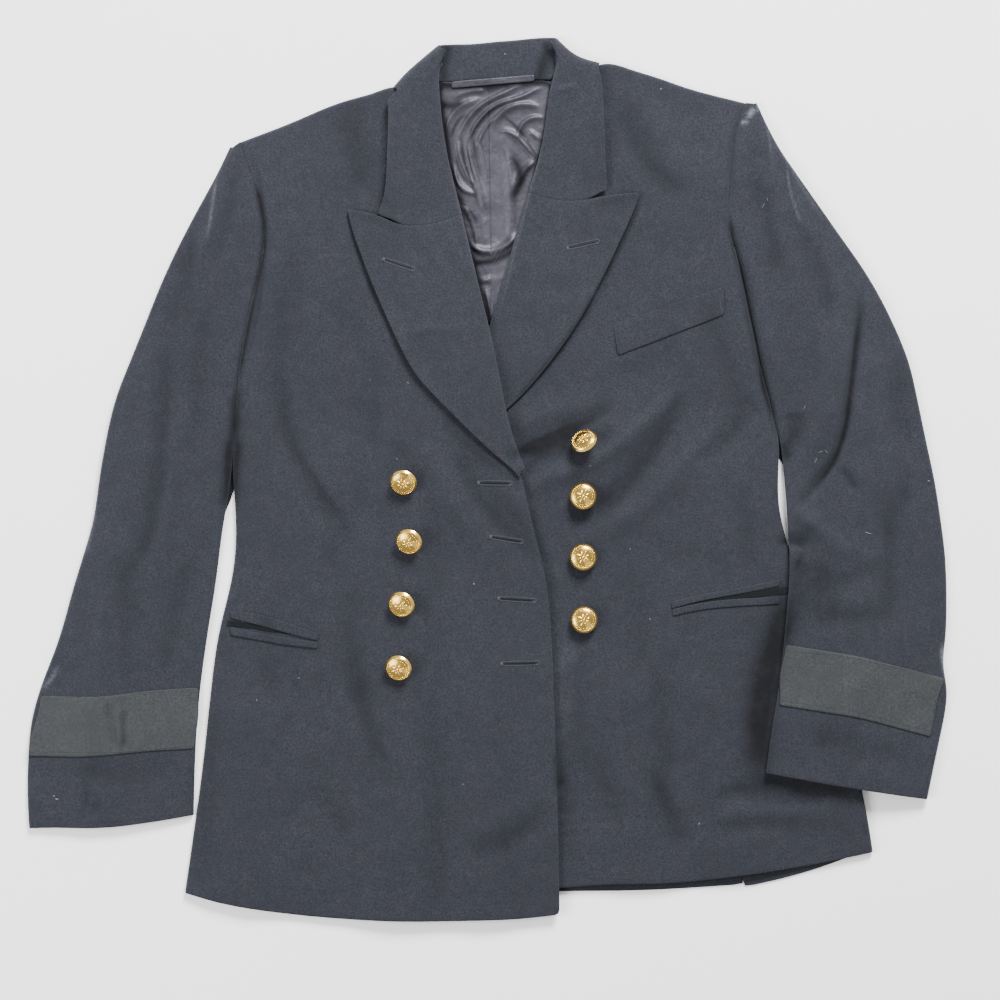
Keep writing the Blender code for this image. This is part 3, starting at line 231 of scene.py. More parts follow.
LINING_CREASES = [
    ([(443, 134), (450, 116), (462, 104), (484, 97)], 2.0, 3.4, 2.4),
    ([(450, 97), (470, 91), (488, 91)], 1.8, 2.4, 1.6),
    ([(457, 142), (464, 122), (478, 106), (494, 97), (510, 90), (524, 82)], 1.6, 2.8, 3.2),
    ([(468, 152), (471, 131), (482, 115), (498, 103), (522, 97), (537, 88), (548, 88)], 1.4, 2.4, 3.2),
    ([(476, 150), (480, 136), (489, 122), (500, 113)], 1.2, 1.6, 1.8),
    ([(490, 129), (499, 114), (510, 106), (526, 103), (543, 108)], 1.8, 3.4, 3.0),
    ([(517, 140), (520, 124), (533, 116), (547, 119)], 1.4, 3.0, 3.0),
    ([(498, 129), (514, 134), (526, 146), (540, 164)], 2.8, 1.2, 3.6),
    ([(526, 130), (536, 136), (546, 146)], 2.2, 1.2, 2.4),
    ([(466, 134), (471, 162), (478, 186), (486, 214)], 3.0, 1.6, 3.0),
    ([(456, 136), (460, 158), (468, 178), (480, 194)], 2.2, 1.4, 2.4),
    ([(478, 132), (483, 158), (488, 186)], 1.8, 1.2, 1.6),
    ([(503, 140), (509, 170), (512, 210), (509, 250)], 3.6, 3.0, 2.8),
    ([(540, 158), (526, 168), (518, 182), (516, 196)], 1.8, 3.4, 2.6),
    ([(450, 160), (456, 182), (466, 192), (480, 196)], 2.8, 1.6, 2.4),
    ([(458, 202), (468, 212), (475, 228), (478, 250)], 3.0, 1.4, 2.6),
    ([(466, 240), (476, 250), (492, 253), (508, 246), (522, 230)], 3.4, 1.4, 4.2),
    ([(484, 214), (482, 232), (486, 248)], 2.4, 1.8, 1.4),
    ([(476, 284), (490, 279), (508, 282)], 2.6, 1.4, 2.0),
    ([(484, 286), (489, 304), (492, 330)], 1.6, 1.6, 1.8),
    ([(500, 282), (497, 300), (494, 320)], 1.6, 1.6, 1.2),
]
# Edge of the opening in which the lining shows, on the grid
OPENING = [(440, 84), (441, 104), (446, 134), (452, 180), (463, 228), (473, 262), (483, 300), (492, 336),
           (505, 292), (516, 250), (528, 204), (537, 165), (542, 145), (546, 120), (549, 90), (547, 82),
           (500, 83), (460, 84)]
# Distance in metres from that edge over which the lining's creases grow to their full height
OPENING_FADE = 0.0045

# Worn, paler lines and patches, in rows like those of the creases, with a strength for the height
WEAR = [
    ([(764, 112), (769, 136), (771, 160)], 0.9, 0.9, 0.13),
    ([(786, 160), (789, 190), (797, 215), (803, 232)], 0.9, 0.9, 0.16),
    ([(747, 118), (751, 113), (755, 108)], 2.4, 2.4, 0.5),
    ([(740, 124), (745, 122), (749, 119)], 1.8, 1.8, 0.4),
    ([(757, 112), (758, 107), (757, 103)], 1.4, 1.4, 0.3),
    ([(218, 172), (214, 195), (211, 220), (207, 242)], 1.1, 1.1, 0.2),
    ([(40, 692), (52, 678), (60, 664)], 2.2, 2.2, 0.16),
    ([(944, 640), (942, 652), (945, 668), (948, 684)], 2.0, 2.0, 0.42),
    ([(441, 100), (447, 140), (455, 190), (470, 250), (486, 310)], 1.2, 1.2, 0.07),
    ([(548, 100), (541, 150), (528, 200), (512, 262), (496, 330)], 1.2, 1.2, 0.07),
    ([(760, 105), (778, 145), (800, 185), (830, 230)], 1.6, 1.6, 0.08),
    ([(96, 500), (94, 520), (84, 560)], 2.4, 2.4, 0.1),
    ([(560, 618), (566, 690), (561, 760)], 3.0, 3.0, 0.06),
    ([(388, 110), (386, 150), (384, 190)], 1.4, 1.4, 0.1),
]
# Darker marks: painted shade beside a fold, under an edge and between the sleeves and the body, with
# darker seams and grime
PAINTED_SHADE_AND_DARK_MARKS = [
    ([(118, 738), (126, 742), (132, 750)], 4.0, 5.0, 0.5),
    ([(96, 800), (98, 812)], 3.0, 3.0, 0.3),
    ([(452, 452), (500, 470)], 9.0, 9.0, 0.15),
    ([(560, 770), (566, 800), (574, 850)], 5.0, 7.0, 0.3),
    ([(800, 580), (782, 630), (768, 680), (762, 730), (758, 800)], 9.0, 15.0, 1.0, 0.25),
    ([(740, 782), (790, 782), (866, 796)], 5.0, 5.0, 0.6),
    ([(504, 458), (530, 446), (556, 436), (590, 420)], 3.0, 3.4, 0.35),
    ([(434, 410), (462, 438), (490, 462), (516, 482), (534, 496)], 4.0, 4.6, 0.45),
    ([(863, 300), (852, 350), (848, 386), (846, 424), (838, 460), (817, 487), (796, 506)], 2.6, 3.4, 0.75),
    ([(784, 452), (792, 440), (796, 414)], 7.0, 9.0, 0.3, 0.5),
    ([(781, 440), (786, 452), (790, 462)], 5.0, 5.0, 0.8, 0.3),
    ([(727, 210), (734, 246), (741, 276), (753, 343), (764, 388), (779, 428)], 2.4, 2.6, 0.9, 0.1),
    ([(254, 180), (262, 206), (265.6, 234), (262, 262), (254, 300), (246, 340), (238, 384)],
     2.2, 2.6, 1.0, 0.1),
    ([(240, 366), (236, 410), (233, 450), (231, 508)], 4.4, 5.0, 1.0, 0.3),
    ([(234, 436), (231, 475), (229, 514)], 8.0, 8.0, 1.0, 0.15),
    ([(518, 458), (545, 446), (588, 426)], 9.0, 12.0, 1.0, 0.3),
    ([(557, 748), (559, 770), (560, 796)], 3.0, 4.0, 0.7, 0.3),
    ([(806, 556), (820, 590), (824, 640)], 15.0, 18.0, 0.22, 0.4),
    ([(776, 546), (792, 540), (808, 548)], 2.4, 2.6, 0.6),
    ([(804, 546), (800, 560), (790, 575)], 2.0, 2.4, 0.4),
    ([(537, 84), (542, 66), (548, 40)], 3.6, 6.0, 0.75, 0.12),
    ([(443, 84), (444, 62), (449, 42)], 3.4, 4.0, 0.6, 0.12),
    ([(642, 198), (622, 244), (592, 300), (556, 352), (512, 404)], 1.7, 1.7, 0.55, 0.08),
    ([(560, 440), (566, 450), (574, 455)], 3.0, 3.0, 0.3),
]
# Share of painted shade that a trough takes for each millimetre of its depth
TROUGH_SHADE = 0.075
# Painted shade on the lining along the opening's edge, at its fold and along its creases, and the darker
# line of its middle seam
LINING_PAINTED_SHADE_AND_DARK_MARKS = [
    ([(436, 74), (441, 110), (446, 134), (452, 180), (463, 228), (473, 262), (484, 305), (494, 342)],
     3.4, 3.4, 1.0, 0.05),
    ([(552, 74), (549, 104), (546, 128), (541, 150), (535, 172), (527, 208), (514, 252)],
     2.0, 2.0, 0.9, 0.05),
    ([(436, 84), (480, 88), (520, 83), (554, 80)], 5.0, 5.0, 1.0, 0.05),
    ([(440, 100), (450, 108), (466, 100)], 3.4, 3.4, 0.8),
    ([(462, 262), (484, 263), (502, 258), (520, 246)], 3.0, 2.4, 1.0, 0.1),
    ([(506, 150), (522, 170), (517, 190), (508, 208)], 3.4, 4.2, 0.9),
    ([(530, 160), (526, 176), (520, 190)], 3.0, 3.0, 0.6),
    ([(498, 112), (514, 124), (526, 138), (538, 158)], 1.5, 1.5, 0.8),
    ([(460, 128), (463, 158), (474, 190), (482, 214)], 1.3, 1.3, 0.8),
    ([(472, 132), (476, 160), (484, 186)], 1.1, 1.1, 0.6),
    ([(464, 150), (474, 130), (488, 112), (508, 100)], 1.2, 1.2, 0.7),
    ([(450, 140), (456, 122), (468, 112)], 1.6, 1.6, 0.7),
    ([(489, 88), (489, 130), (490, 190), (491, 250)], 0.6, 0.6, 0.4, 0.05),
    ([(450, 186), (462, 202), (474, 214), (480, 232)], 2.4, 2.4, 0.9),
    ([(456, 150), (458, 170), (470, 186)], 1.6, 1.6, 0.6),
]
# Corners and edges drawn out to where they lie: for each node, place on the grid, reach in
# millimetres, shift in squares right and down
DRAWN_OUT = {
    "collar_left": [((429, 56), 11.0, (10.0, -9.0)), ((392, 219), 8.0, (0.5, -2.4)),
                    ((438, 63), 4.0, (3.0, 0.0))],
    "collar_right": [((563, 47), 9.0, (-7.0, -8.0)), ((604, 198), 10.0, (0.5, -5.0)),
                     ((560, 56), 4.0, (-3.0, 0.0))],
    "collar_back": [((441, 62), 12.0, (-6.0, 0.0)), ((555, 58), 12.0, (7.0, 0.0))],
    "lapel_left": [((523, 473), 7.0, (2.0, 5.5))],
    "lining_left": [((440, 86), 12.0, (-4.0, -3.0))],
    "lining_right": [((550, 86), 12.0, (5.0, -3.0))],
    "front_left": [((390, 92), 14.0, (0.0, -4.0))],
    "front_right": [((606, 70), 18.0, (0.0, -5.0))],
    "pocket_jet_lower_right": [((792, 600), 40.0, (0.0, 3.4))],
    "pocket_jet_lower_left": [((228, 628), 34.0, (0.0, 2.0))],
    "cuff_braid_right": [((780, 674), 16.0, (-3.0, 0.0)), ((942, 676), 14.0, (3.5, 0.5))],
    "cuff_braid_left": [((34, 746), 22.0, (-7.0, 0.0)), ((196, 716), 22.0, (3.0, 0.0))],
}
# Nodes that lie closer on what is under them than their solids do, and by how many millimetres
SUNK_PARTS = ("breast_welt", "cuff_braid_", "pocket_jet_")
SUNK = 0.3
# The cut edges are drawn out by this many millimetres, so that the seams close
SEAM_CLOSING = 0.42


class ClothSettings(bpy.types.PropertyGroup):
    """Sizes and colours of the jacket's cloth"""
    serge: bpy.props.FloatVectorProperty(
        name="Serge", description="Colour of the wool serge", subtype="COLOR", min=0.0, max=1.0,
        default=(0.0155, 0.0163, 0.0216))
    worn: bpy.props.FloatVectorProperty(
        name="Worn serge", description="Colour of the serge where its nap has rubbed away",
        subtype="COLOR", min=0.0, max=1.0, default=(0.21, 0.22, 0.25))
    braid: bpy.props.FloatVectorProperty(
        name="Braid", description="Colour of the flat cuff braid", subtype="COLOR", min=0.0, max=1.0,
        default=(0.0138, 0.0160, 0.0176))
    satin: bpy.props.FloatVectorProperty(
        name="Lining", description="Colour of the satin lining", subtype="COLOR", min=0.0, max=1.0,
        default=(0.026, 0.025, 0.032))
    wale: bpy.props.FloatProperty(
        name="Twill line", description="Distance between the serge's diagonal lines", default=0.0009,
        min=0.0003, max=0.004, precision=5, subtype="DISTANCE", unit="LENGTH")
    relief: bpy.props.FloatProperty(
        name="Crease strength", description="Share of the full height of every crease", default=1.0,
        min=0.0, max=1.5, subtype="FACTOR")


class ButtonSettings(bpy.types.PropertyGroup):
    """Sizes and colour of the gilt buttons"""
    radius: bpy.props.FloatProperty(
        name="Radius", description="Radius of a button", default=0.0116, min=0.006, max=0.016,
        precision=4, subtype="DISTANCE", unit="LENGTH")
    strands: bpy.props.IntProperty(
        name="Rope turns", description="Turns of the rope that runs round the rim", default=44, min=12,
        max=80)
    gilt: bpy.props.FloatVectorProperty(
        name="Gilt", description="Colour of the gilding", subtype="COLOR", min=0.0, max=1.0,
        default=(1.0, 0.66, 0.16))


class StageSettings(bpy.types.PropertyGroup):
    """Camera, light and floor"""
    lens: bpy.props.FloatProperty(
        name="Lens", description="Focal length of the camera in millimetres", default=150.0, min=30.0,
        max=300.0)
    width: bpy.props.FloatProperty(
        name="Seen width", description="Width of the floor that the camera sees", default=0.86, min=0.4,
        max=3.0, subtype="DISTANCE", unit="LENGTH")
    floor: bpy.props.FloatVectorProperty(
        name="Floor", description="Colour of the floor", subtype="COLOR", min=0.0, max=1.0,
        default=(0.95, 0.95, 0.95))


def on_grid(points):
    """Places on the grid as an array of metres."""
    table = np.array(points, float)
    return np.stack([(table[:, 0] - MIDDLE[0]) * SQUARE, (MIDDLE[1] - table[:, 1]) * SQUARE], axis=1)


def rounded(points):
    """The line with its corners cut twice, so that a crease bends softly."""
    for _ in range(2):
        cut = [points[0]]
        for first, second in zip(points[:-1], points[1:]):
            cut.append(first * 0.75 + second * 0.25)
            cut.append(first * 0.25 + second * 0.75)
        cut.append(points[-1])
        points = np.array(cut)
    return points


def eased(share):
    share = np.clip(share, 0.0, 1.0)
    return share * share * (3.0 - 2.0 * share)


def crease(x, y, points, left, right, height, taper=TAPER):
    """Height in millimetres of one crease at many places."""
    line = rounded(on_grid(points))
    nearest = np.full(len(x), 1e9)
    side = np.zeros(len(x))
    along = np.zeros(len(x))
    run = 0.0
    for first, second in zip(line[:-1], line[1:]):
        way = second - first
        length = math.hypot(*way)
        share = ((x - first[0]) * way[0] + (y - first[1]) * way[1]) / length ** 2
        held = np.clip(share, 0.0, 1.0)
        off_x = x - first[0] - held * way[0]
        off_y = y - first[1] - held * way[1]
        distance = off_x ** 2 + off_y ** 2
        closer = distance < nearest
        nearest = np.where(closer, distance, nearest)
        side = np.where(closer, way[0] * off_y - way[1] * off_x, side)
        along = np.where(closer, run + held * length, along)
        run += length
    width = np.where(side > 0.0, left, right) * MM
    share = along / run
    ends = eased(share / taper) * eased((1.0 - share) / taper)
    return height * np.exp(-nearest / width ** 2) * ends


def field(table, x, y):
    """Sum of a crease table at many places, in millimetres."""
    total = np.zeros(len(x))
    for row in table:
        total += crease(x, y, *row)
    return total


def inside_opening(x, y):
    """Share that grows from 0 at the opening's edge to 1 a few millimetres inside it."""
    edge = on_grid(OPENING)
    nearest = np.full(len(x), 1e9)
    within = np.zeros(len(x), bool)
    for first, second in zip(edge, np.roll(edge, -1, axis=0)):
        way = second - first
        held = np.clip(((x - first[0]) * way[0] + (y - first[1]) * way[1]) / (way @ way), 0.0, 1.0)
        nearest = np.minimum(nearest, np.hypot(x - first[0] - held * way[0], y - first[1] - held * way[1]))
        crosses = (first[1] > y) != (second[1] > y)
        rise = way[1] if abs(way[1]) > 1e-12 else 1e-12
        within ^= crosses & (x < first[0] + (y - first[1]) / rise * way[0])
    return np.where(within, eased(nearest / OPENING_FADE), 0.0)


# Slow waves: turn in radians for each metre across and along, phase, height in millimetres
WAVES = [(61.0, 23.0, 0.4, 0.32), (-38.0, 74.0, 2.1, 0.30), (97.0, -58.0, 4.0, 0.20),
         (-120.0, -88.0, 1.3, 0.14), (23.0, 140.0, 5.2, 0.14), (171.0, 63.0, 3.3, 0.09),
         (205.0, -90.0, 0.9, 0.06), (-110.0, 230.0, 2.7, 0.06), (320.0, 170.0, 4.4, 0.03)]


def undulation(x, y):
    """Slow uneven waves of the cloth, in millimetres."""
    total = np.zeros(len(x))
    for across, along, phase, height in WAVES:
        bend = 0.8 * np.sin(31.0 * x - 27.0 * y + phase)
        total += height * np.sin(across * x + along * y + phase + bend)
    return total


# What lies over what, from the floor up; each layer is carried by the creases of those under it
BACK, LINING, RIGHT, RIGHT_LAPEL, LEFT, LEFT_LAPEL, RIGHT_SLEEVE = range(7)


def lift(layer, x, y, z):
    """How far the cloth of a layer stands above its solid, in millimetres."""
    strength = bpy.context.scene.jacket_cloth.relief
    upper = field(FULLNESS, x, y) + field(CREASES, x, y) + undulation(x, y)
    upper = np.where(upper < 0.0, -DEEPEST * np.tanh(-upper / DEEPEST), upper)
    held_up = eased((z / MM - FLOOR_CLOTH) / (UPPER_CLOTH - FLOOR_CLOTH))
    total = field(UNDERSIDE, x, y) + upper * held_up
    if layer == LINING:
        total = total + field(LINING_CREASES, x, y) * inside_opening(x, y)
    if layer in (RIGHT_LAPEL, LEFT, LEFT_LAPEL):
        total = total + field(RIGHT_LAPEL_STAND, x, y)
    if layer in (LEFT, LEFT_LAPEL):
        total = total + field(EDGE_STAND, x, y)
    if layer == LEFT_LAPEL:
        total = total + field(LEFT_LAPEL_STAND, x, y)
    if layer == RIGHT_SLEEVE:
        total = total + field(SLEEVE_STAND, x, y)
    return total * strength


def as_mesh(shape, name):
    """The finished shape as a named mesh; the shape itself is freed."""
    mesh = bpy.data.meshes.new(name)
    shape.to_mesh(mesh)
    shape.free()
    return mesh


def new_piece(name, mesh, finish):
    """An object of the jacket with its finish, riding on the jacket's body."""
    thing = bpy.data.objects.new(name, mesh)
    bpy.context.scene.collection.objects.link(thing)
    mesh.materials.clear()
    mesh.materials.append(finish)
    mesh.shade_smooth()
    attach(thing, "root")
    return thing


def read_points(mesh):
    flat = np.empty(len(mesh.vertices) * 3)
    mesh.vertices.foreach_get("co", flat)
    return flat.reshape(-1, 3)


def write_points(mesh, points):
    mesh.vertices.foreach_set("co", points.ravel())
    mesh.update()


def paint(mesh, name, table, trough_shade=0.0):
    """A share for each point of the mesh, read by the finish as an attribute; trough_shade is the painted
    shade that each millimetre of a trough adds to it."""
    points = read_points(mesh)
    layer = mesh.attributes.new(name, "FLOAT", "POINT")
    share = field(table, points[:, 0], points[:, 1])
    if trough_shade:
        share += trough_shade * np.maximum(0.0, -field(CREASES, points[:, 0], points[:, 1]))
    layer.data.foreach_set("value", np.clip(share, 0.0, 1.0).astype(np.float32))


# The cloth that lies on the floor, without the worn lines, the darker seams and grime and the painted
# shade, and without the painted shade of the fronts' creases
UNDER_PARTS = ("back_", "side_body_", "under_sleeve_")
# A fold of the solids turns 45 degrees at each step, and the rim of a cloth wall about 90
RIM_ANGLE = math.radians(62.0)
CORNER_ANGLE = math.radians(28.0)
# An edge shorter than this, in metres, is the end of a corner
CORNER_EDGE = 0.003
RIM_CREASE = 0.5
# Points closer than this, in metres, are one
WELD = 2e-6
# Two triangles join where they turn less than the first and their corners differ less than the second
FLAT_ANGLE = math.radians(30.0)
JOINED_ANGLE = math.radians(100.0)


def drape(node, layer, levels, finish):
    """A node's cloth: its wall made fine, its rim kept, and its creases pressed in."""
    shape = bmesh.new()
    shape.from_mesh(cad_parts[node].data)
    bmesh.ops.remove_doubles(shape, verts=shape.verts, dist=WELD)
    bmesh.ops.join_triangles(shape, faces=shape.faces, cmp_seam=False, cmp_sharp=False, cmp_uvs=False,
                             cmp_vcols=False, cmp_materials=False,
                             angle_face_threshold=FLAT_ANGLE, angle_shape_threshold=JOINED_ANGLE)
    marks = shape.edges.layers.float.new("crease_edge")
    for edge in shape.edges:
        if len(edge.link_faces) != 2:
            continue
        angle = edge.calc_face_angle()
        if angle > RIM_ANGLE or (angle > CORNER_ANGLE and edge.calc_length() < CORNER_EDGE):
            edge[marks] = RIM_CREASE
    coarse = as_mesh(shape, node + "_coarse")
    holder = bpy.data.objects.new(node + "_coarse", coarse)
    bpy.context.scene.collection.objects.link(holder)
    finer = holder.modifiers.new("finer", "SUBSURF")
    finer.levels = levels
    finer.render_levels = levels
    depsgraph = bpy.context.evaluated_depsgraph_get()
    mesh = bpy.data.meshes.new_from_object(holder.evaluated_get(depsgraph))
    mesh.name = "cloth_" + node
    bpy.data.objects.remove(holder)
    bpy.data.meshes.remove(coarse)
    points = read_points(mesh)
    outward = np.empty(len(points) * 3)
    mesh.vertex_normals.foreach_get("vector", outward)
    outward = outward.reshape(-1, 3)
    # 1 where the cloth's edge faces sideways, 0 on its two faces
    rim = np.clip(1.4 - 2.4 * np.abs(outward[:, 2]), 0.0, 1.0)[:, None]
    points[:, :2] += outward[:, :2] * rim * SEAM_CLOSING * MM
    for place, reach, shift in DRAWN_OUT.get(node, []):
        spot = on_grid([place])[0]
        away = np.hypot(points[:, 0] - spot[0], points[:, 1] - spot[1])
        share = np.exp(-(away / (reach * MM)) ** 2)[:, None]
        points[:, :2] += np.array([shift[0], -shift[1]]) * SQUARE * share
    if node.startswith(SUNK_PARTS):
        points[:, 2] -= SUNK * MM
    points[:, 2] += lift(layer, points[:, 0], points[:, 1], points[:, 2]) * MM
    write_points(mesh, points)
    # The worn lines and the painted shade with its darker seams and grime, left off the cloth that lies on
    # the floor
    below = node.startswith(UNDER_PARTS)
    paint(mesh, "wear", [] if below else WEAR)
    if layer == LINING:
        paint(mesh, "painted_shade_and_dark_marks", LINING_PAINTED_SHADE_AND_DARK_MARKS)
    else:
        paint(mesh, "painted_shade_and_dark_marks", [] if below else PAINTED_SHADE_AND_DARK_MARKS, 0.0 if below else TROUGH_SHADE)
    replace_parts(new_piece("cloth_" + node, mesh, finish), node)


def place_nodes(tree):
    """Sets a finish's nodes out in rows, so that it can be read."""
    for index, node in enumerate(tree.nodes):
        node.location = (220 * (index % 6), -260 * (index // 6))


class Finish:
    """A procedural material and short calls that add its nodes."""

    def __init__(self, name):
        self.material = bpy.data.materials.new(name)
        self.material.use_nodes = True
        self.tree = self.material.node_tree
        self.shader = self.tree.nodes["Principled BSDF"]
        self.places = self.add("ShaderNodeTexCoord").outputs["Object"]

    def add(self, kind, **settings):
        node = self.tree.nodes.new(kind)
        for name, value in settings.items():
            setattr(node, name, value)
        return node

    def feed(self, source, socket):
        self.tree.links.new(source, socket)

    def turned(self, turn, stretch=(1.0, 1.0, 1.0)):
        node = self.add("ShaderNodeMapping")
        node.inputs["Rotation"].default_value = (0.0, 0.0, math.radians(turn))
        node.inputs["Scale"].default_value = stretch
        self.feed(self.places, node.inputs["Vector"])
        return node.outputs["Vector"]

    def noise(self, size, detail=3.0, roughness=0.6, places=None, distortion=0.0):
        """Noise whose spots are about size metres across."""
        node = self.add("ShaderNodeTexNoise")
        node.inputs["Scale"].default_value = 1.0 / size
        node.inputs["Detail"].default_value = detail
        node.inputs["Roughness"].default_value = roughness
        node.inputs["Distortion"].default_value = distortion
        self.feed(places or self.places, node.inputs["Vector"])
        return node.outputs["Fac"]

    def lines(self, spacing, places, direction="X", distortion=0.0):
        """Bands spacing metres apart."""
        node = self.add("ShaderNodeTexWave", bands_direction=direction)
        node.inputs["Scale"].default_value = math.pi / (10.0 * spacing)
        node.inputs["Distortion"].default_value = distortion
        node.inputs["Detail"].default_value = 2.0
        node.inputs["Detail Scale"].default_value = 1.5
        self.feed(places, node.inputs["Vector"])
        return node.outputs["Fac"]

    def span(self, value, low, high, to_low=0.0, to_high=1.0):
        node = self.add("ShaderNodeMapRange")
        numbers = {"From Min": low, "From Max": high, "To Min": to_low, "To Max": to_high}
        for socket, number in numbers.items():
            node.inputs[socket].default_value = number
        self.feed(value, node.inputs["Value"])
        return node.outputs["Result"]

    def maths(self, operation, first, second):
        node = self.add("ShaderNodeMath", operation=operation)
        for index, value in enumerate((first, second)):
            if isinstance(value, (int, float)):
                node.inputs[index].default_value = value
            else:
                self.feed(value, node.inputs[index])
        return node.outputs["Value"]

    def mixed(self, share, first, second):
        node = self.add("ShaderNodeMix", data_type="RGBA")
        if isinstance(share, (int, float)):
            node.inputs[0].default_value = share
        else:
            self.feed(share, node.inputs[0])
        for index, value in ((6, first), (7, second)):
            if isinstance(value, tuple):
                node.inputs[index].default_value = (*value, 1.0)
            else:
                self.feed(value, node.inputs[index])
        return node.outputs[2]

    def attribute(self, name):
        return self.add("ShaderNodeAttribute", attribute_name=name).outputs["Fac"]

    def bump(self, height, distance, strength=1.0, under=None):
        node = self.add("ShaderNodeBump")
        node.inputs["Strength"].default_value = strength
        node.inputs["Distance"].default_value = distance
        self.feed(height, node.inputs["Height"])
        if under is not None:
            self.feed(under, node.inputs["Normal"])
        return node.outputs["Normal"]

    def done(self, colour, roughness, normal):
        self.feed(colour, self.shader.inputs["Base Color"])
        if isinstance(roughness, float):
            self.shader.inputs["Roughness"].default_value = roughness
        else:
            self.feed(roughness, self.shader.inputs["Roughness"])
        self.feed(normal, self.shader.inputs["Normal"])
        place_nodes(self.tree)
        return self.material


def shaded(colour, share):
    return tuple(min(1.0, part * share) for part in colour)


def serge_finish(name, turn, share=1.0):
    """Wool serge with its twill at one angle to the page, fuzzy and a little mottled; a share below 1
    gives a copy darkened into painted shade, for cloth seen in a gap.
    """
    cloth = bpy.context.scene.jacket_cloth
    base = shaded(tuple(cloth.serge), share)
    made = Finish(name)
    twill_places = made.turned(turn + 52.0)
    twill = made.lines(cloth.wale, twill_places, distortion=1.6)
    nap = made.noise(0.0015, 2.0, 0.8)
    mottle = made.noise(0.011, 3.0, 0.6)
    broad = made.noise(0.085, 2.0, 0.5)
    fibres = made.noise(0.0034, 2.0, 0.7, made.turned(turn + 20.0, (1.0, 0.25, 1.0)))
    colour = made.mixed(made.span(nap, 0.36, 0.64), shaded(base, 0.42), shaded(base, 1.9))
    colour = made.mixed(made.span(fibres, 0.6, 0.78, 0.0, 0.5), colour, shaded(base, 2.4))
    colour = made.mixed(made.span(twill, 0.2, 0.8, 0.0, 0.25), colour, shaded(base, 0.55))
    warm = (base[0] * 1.14, base[1] * 0.99, base[2] * 1.04)
    cool = (base[0] * 0.86, base[1] * 1.02, base[2] * 1.02)
    tint = made.mixed(made.span(made.noise(0.014, 2.0, 0.6), 0.38, 0.62), cool, warm)
    colour = made.mixed(0.35, colour, tint)
    colour = made.mixed(made.span(broad, 0.36, 0.64, 0.0, 0.22), colour, shaded(base, 0.7))
    colour = made.mixed(made.span(mottle, 0.38, 0.66, 0.0, 0.34), colour, shaded(base, 0.62))
    broken = made.span(made.noise(0.0028, 2.0, 0.7), 0.42, 0.6, 0.4, 1.0)
    worn = made.maths("MULTIPLY", made.attribute("wear"), broken)
    colour = made.mixed(worn, colour, tuple(cloth.worn))
    # Painted shade beside folds, under edges and in troughs, with darker seams and grime
    shade_and_marks = made.maths("MULTIPLY", made.attribute("painted_shade_and_dark_marks"), made.span(mottle, 0.3, 0.6, 0.8, 1.0))
    colour = made.mixed(shade_and_marks, colour, shaded(base, 0.1))
    soft = made.bump(made.noise(0.03, 2.0, 0.5), 0.0012, 0.35)
    weave = made.bump(twill, 0.00012, 0.5, soft)
    fuzz = made.bump(nap, 0.00035, 0.7, weave)
    made.shader.inputs["Sheen Weight"].default_value = 0.1
    made.shader.inputs["Sheen Roughness"].default_value = 0.6
    made.shader.inputs["Sheen Tint"].default_value = (0.72, 0.78, 0.92, 1.0)
    made.shader.inputs["Specular IOR Level"].default_value = 0.12
    return made.done(colour, 0.92, fuzz)


def braid_finish():
    """Flat woven braid: fine ribs along it, faint streaks across, rubbed in places."""
    cloth = bpy.context.scene.jacket_cloth
    base = tuple(cloth.braid)
    made = Finish("flat_woven_braid")
    along = made.turned(0.0)
    ribs = made.lines(0.0007, along, "Y", 0.6)
    ends = made.lines(0.0011, along, "X", 0.8)
    streak = made.noise(0.004, 3.0, 0.6, made.turned(0.0, (1.0, 0.18, 1.0)))
    rub = made.noise(0.022, 3.0, 0.6)
    grain = made.noise(0.0019, 3.0, 0.8)
    colour = made.mixed(made.span(grain, 0.38, 0.62), shaded(base, 0.45), shaded(base, 2.4))
    streaky = made.mixed(made.span(streak, 0.3, 0.7), shaded(base, 0.8), shaded(base, 1.2))
    colour = made.mixed(0.3, colour, streaky)
    colour = made.mixed(made.span(ribs, 0.2, 0.8, 0.0, 0.22), colour, shaded(base, 0.66))
    tan = (base[0] * 1.5, base[1] * 1.42, base[2] * 1.05)
    colour = made.mixed(made.span(rub, 0.5, 0.75, 0.0, 0.42), colour, tan)
    mottle = made.span(made.noise(0.012, 3.0, 0.6), 0.4, 0.62, 0.0, 0.4)
    colour = made.mixed(mottle, colour, (base[0] * 0.9, base[1] * 0.84, base[2] * 1.0))
    # Painted shade and grime, darkening the braid
    colour = made.mixed(made.attribute("painted_shade_and_dark_marks"), colour, shaded(base, 0.55))
    colour = made.mixed(made.attribute("wear"), colour, shaded(base, 2.6))
    weave = made.bump(made.maths("MULTIPLY", ribs, ends), 0.00014, 0.7)
    grainy = made.bump(grain, 0.0002, 0.4, weave)
    made.shader.inputs["Sheen Weight"].default_value = 0.12
    made.shader.inputs["Specular IOR Level"].default_value = 0.3
    return made.done(colour, made.span(grain, 0.3, 0.7, 0.62, 0.8), grainy)


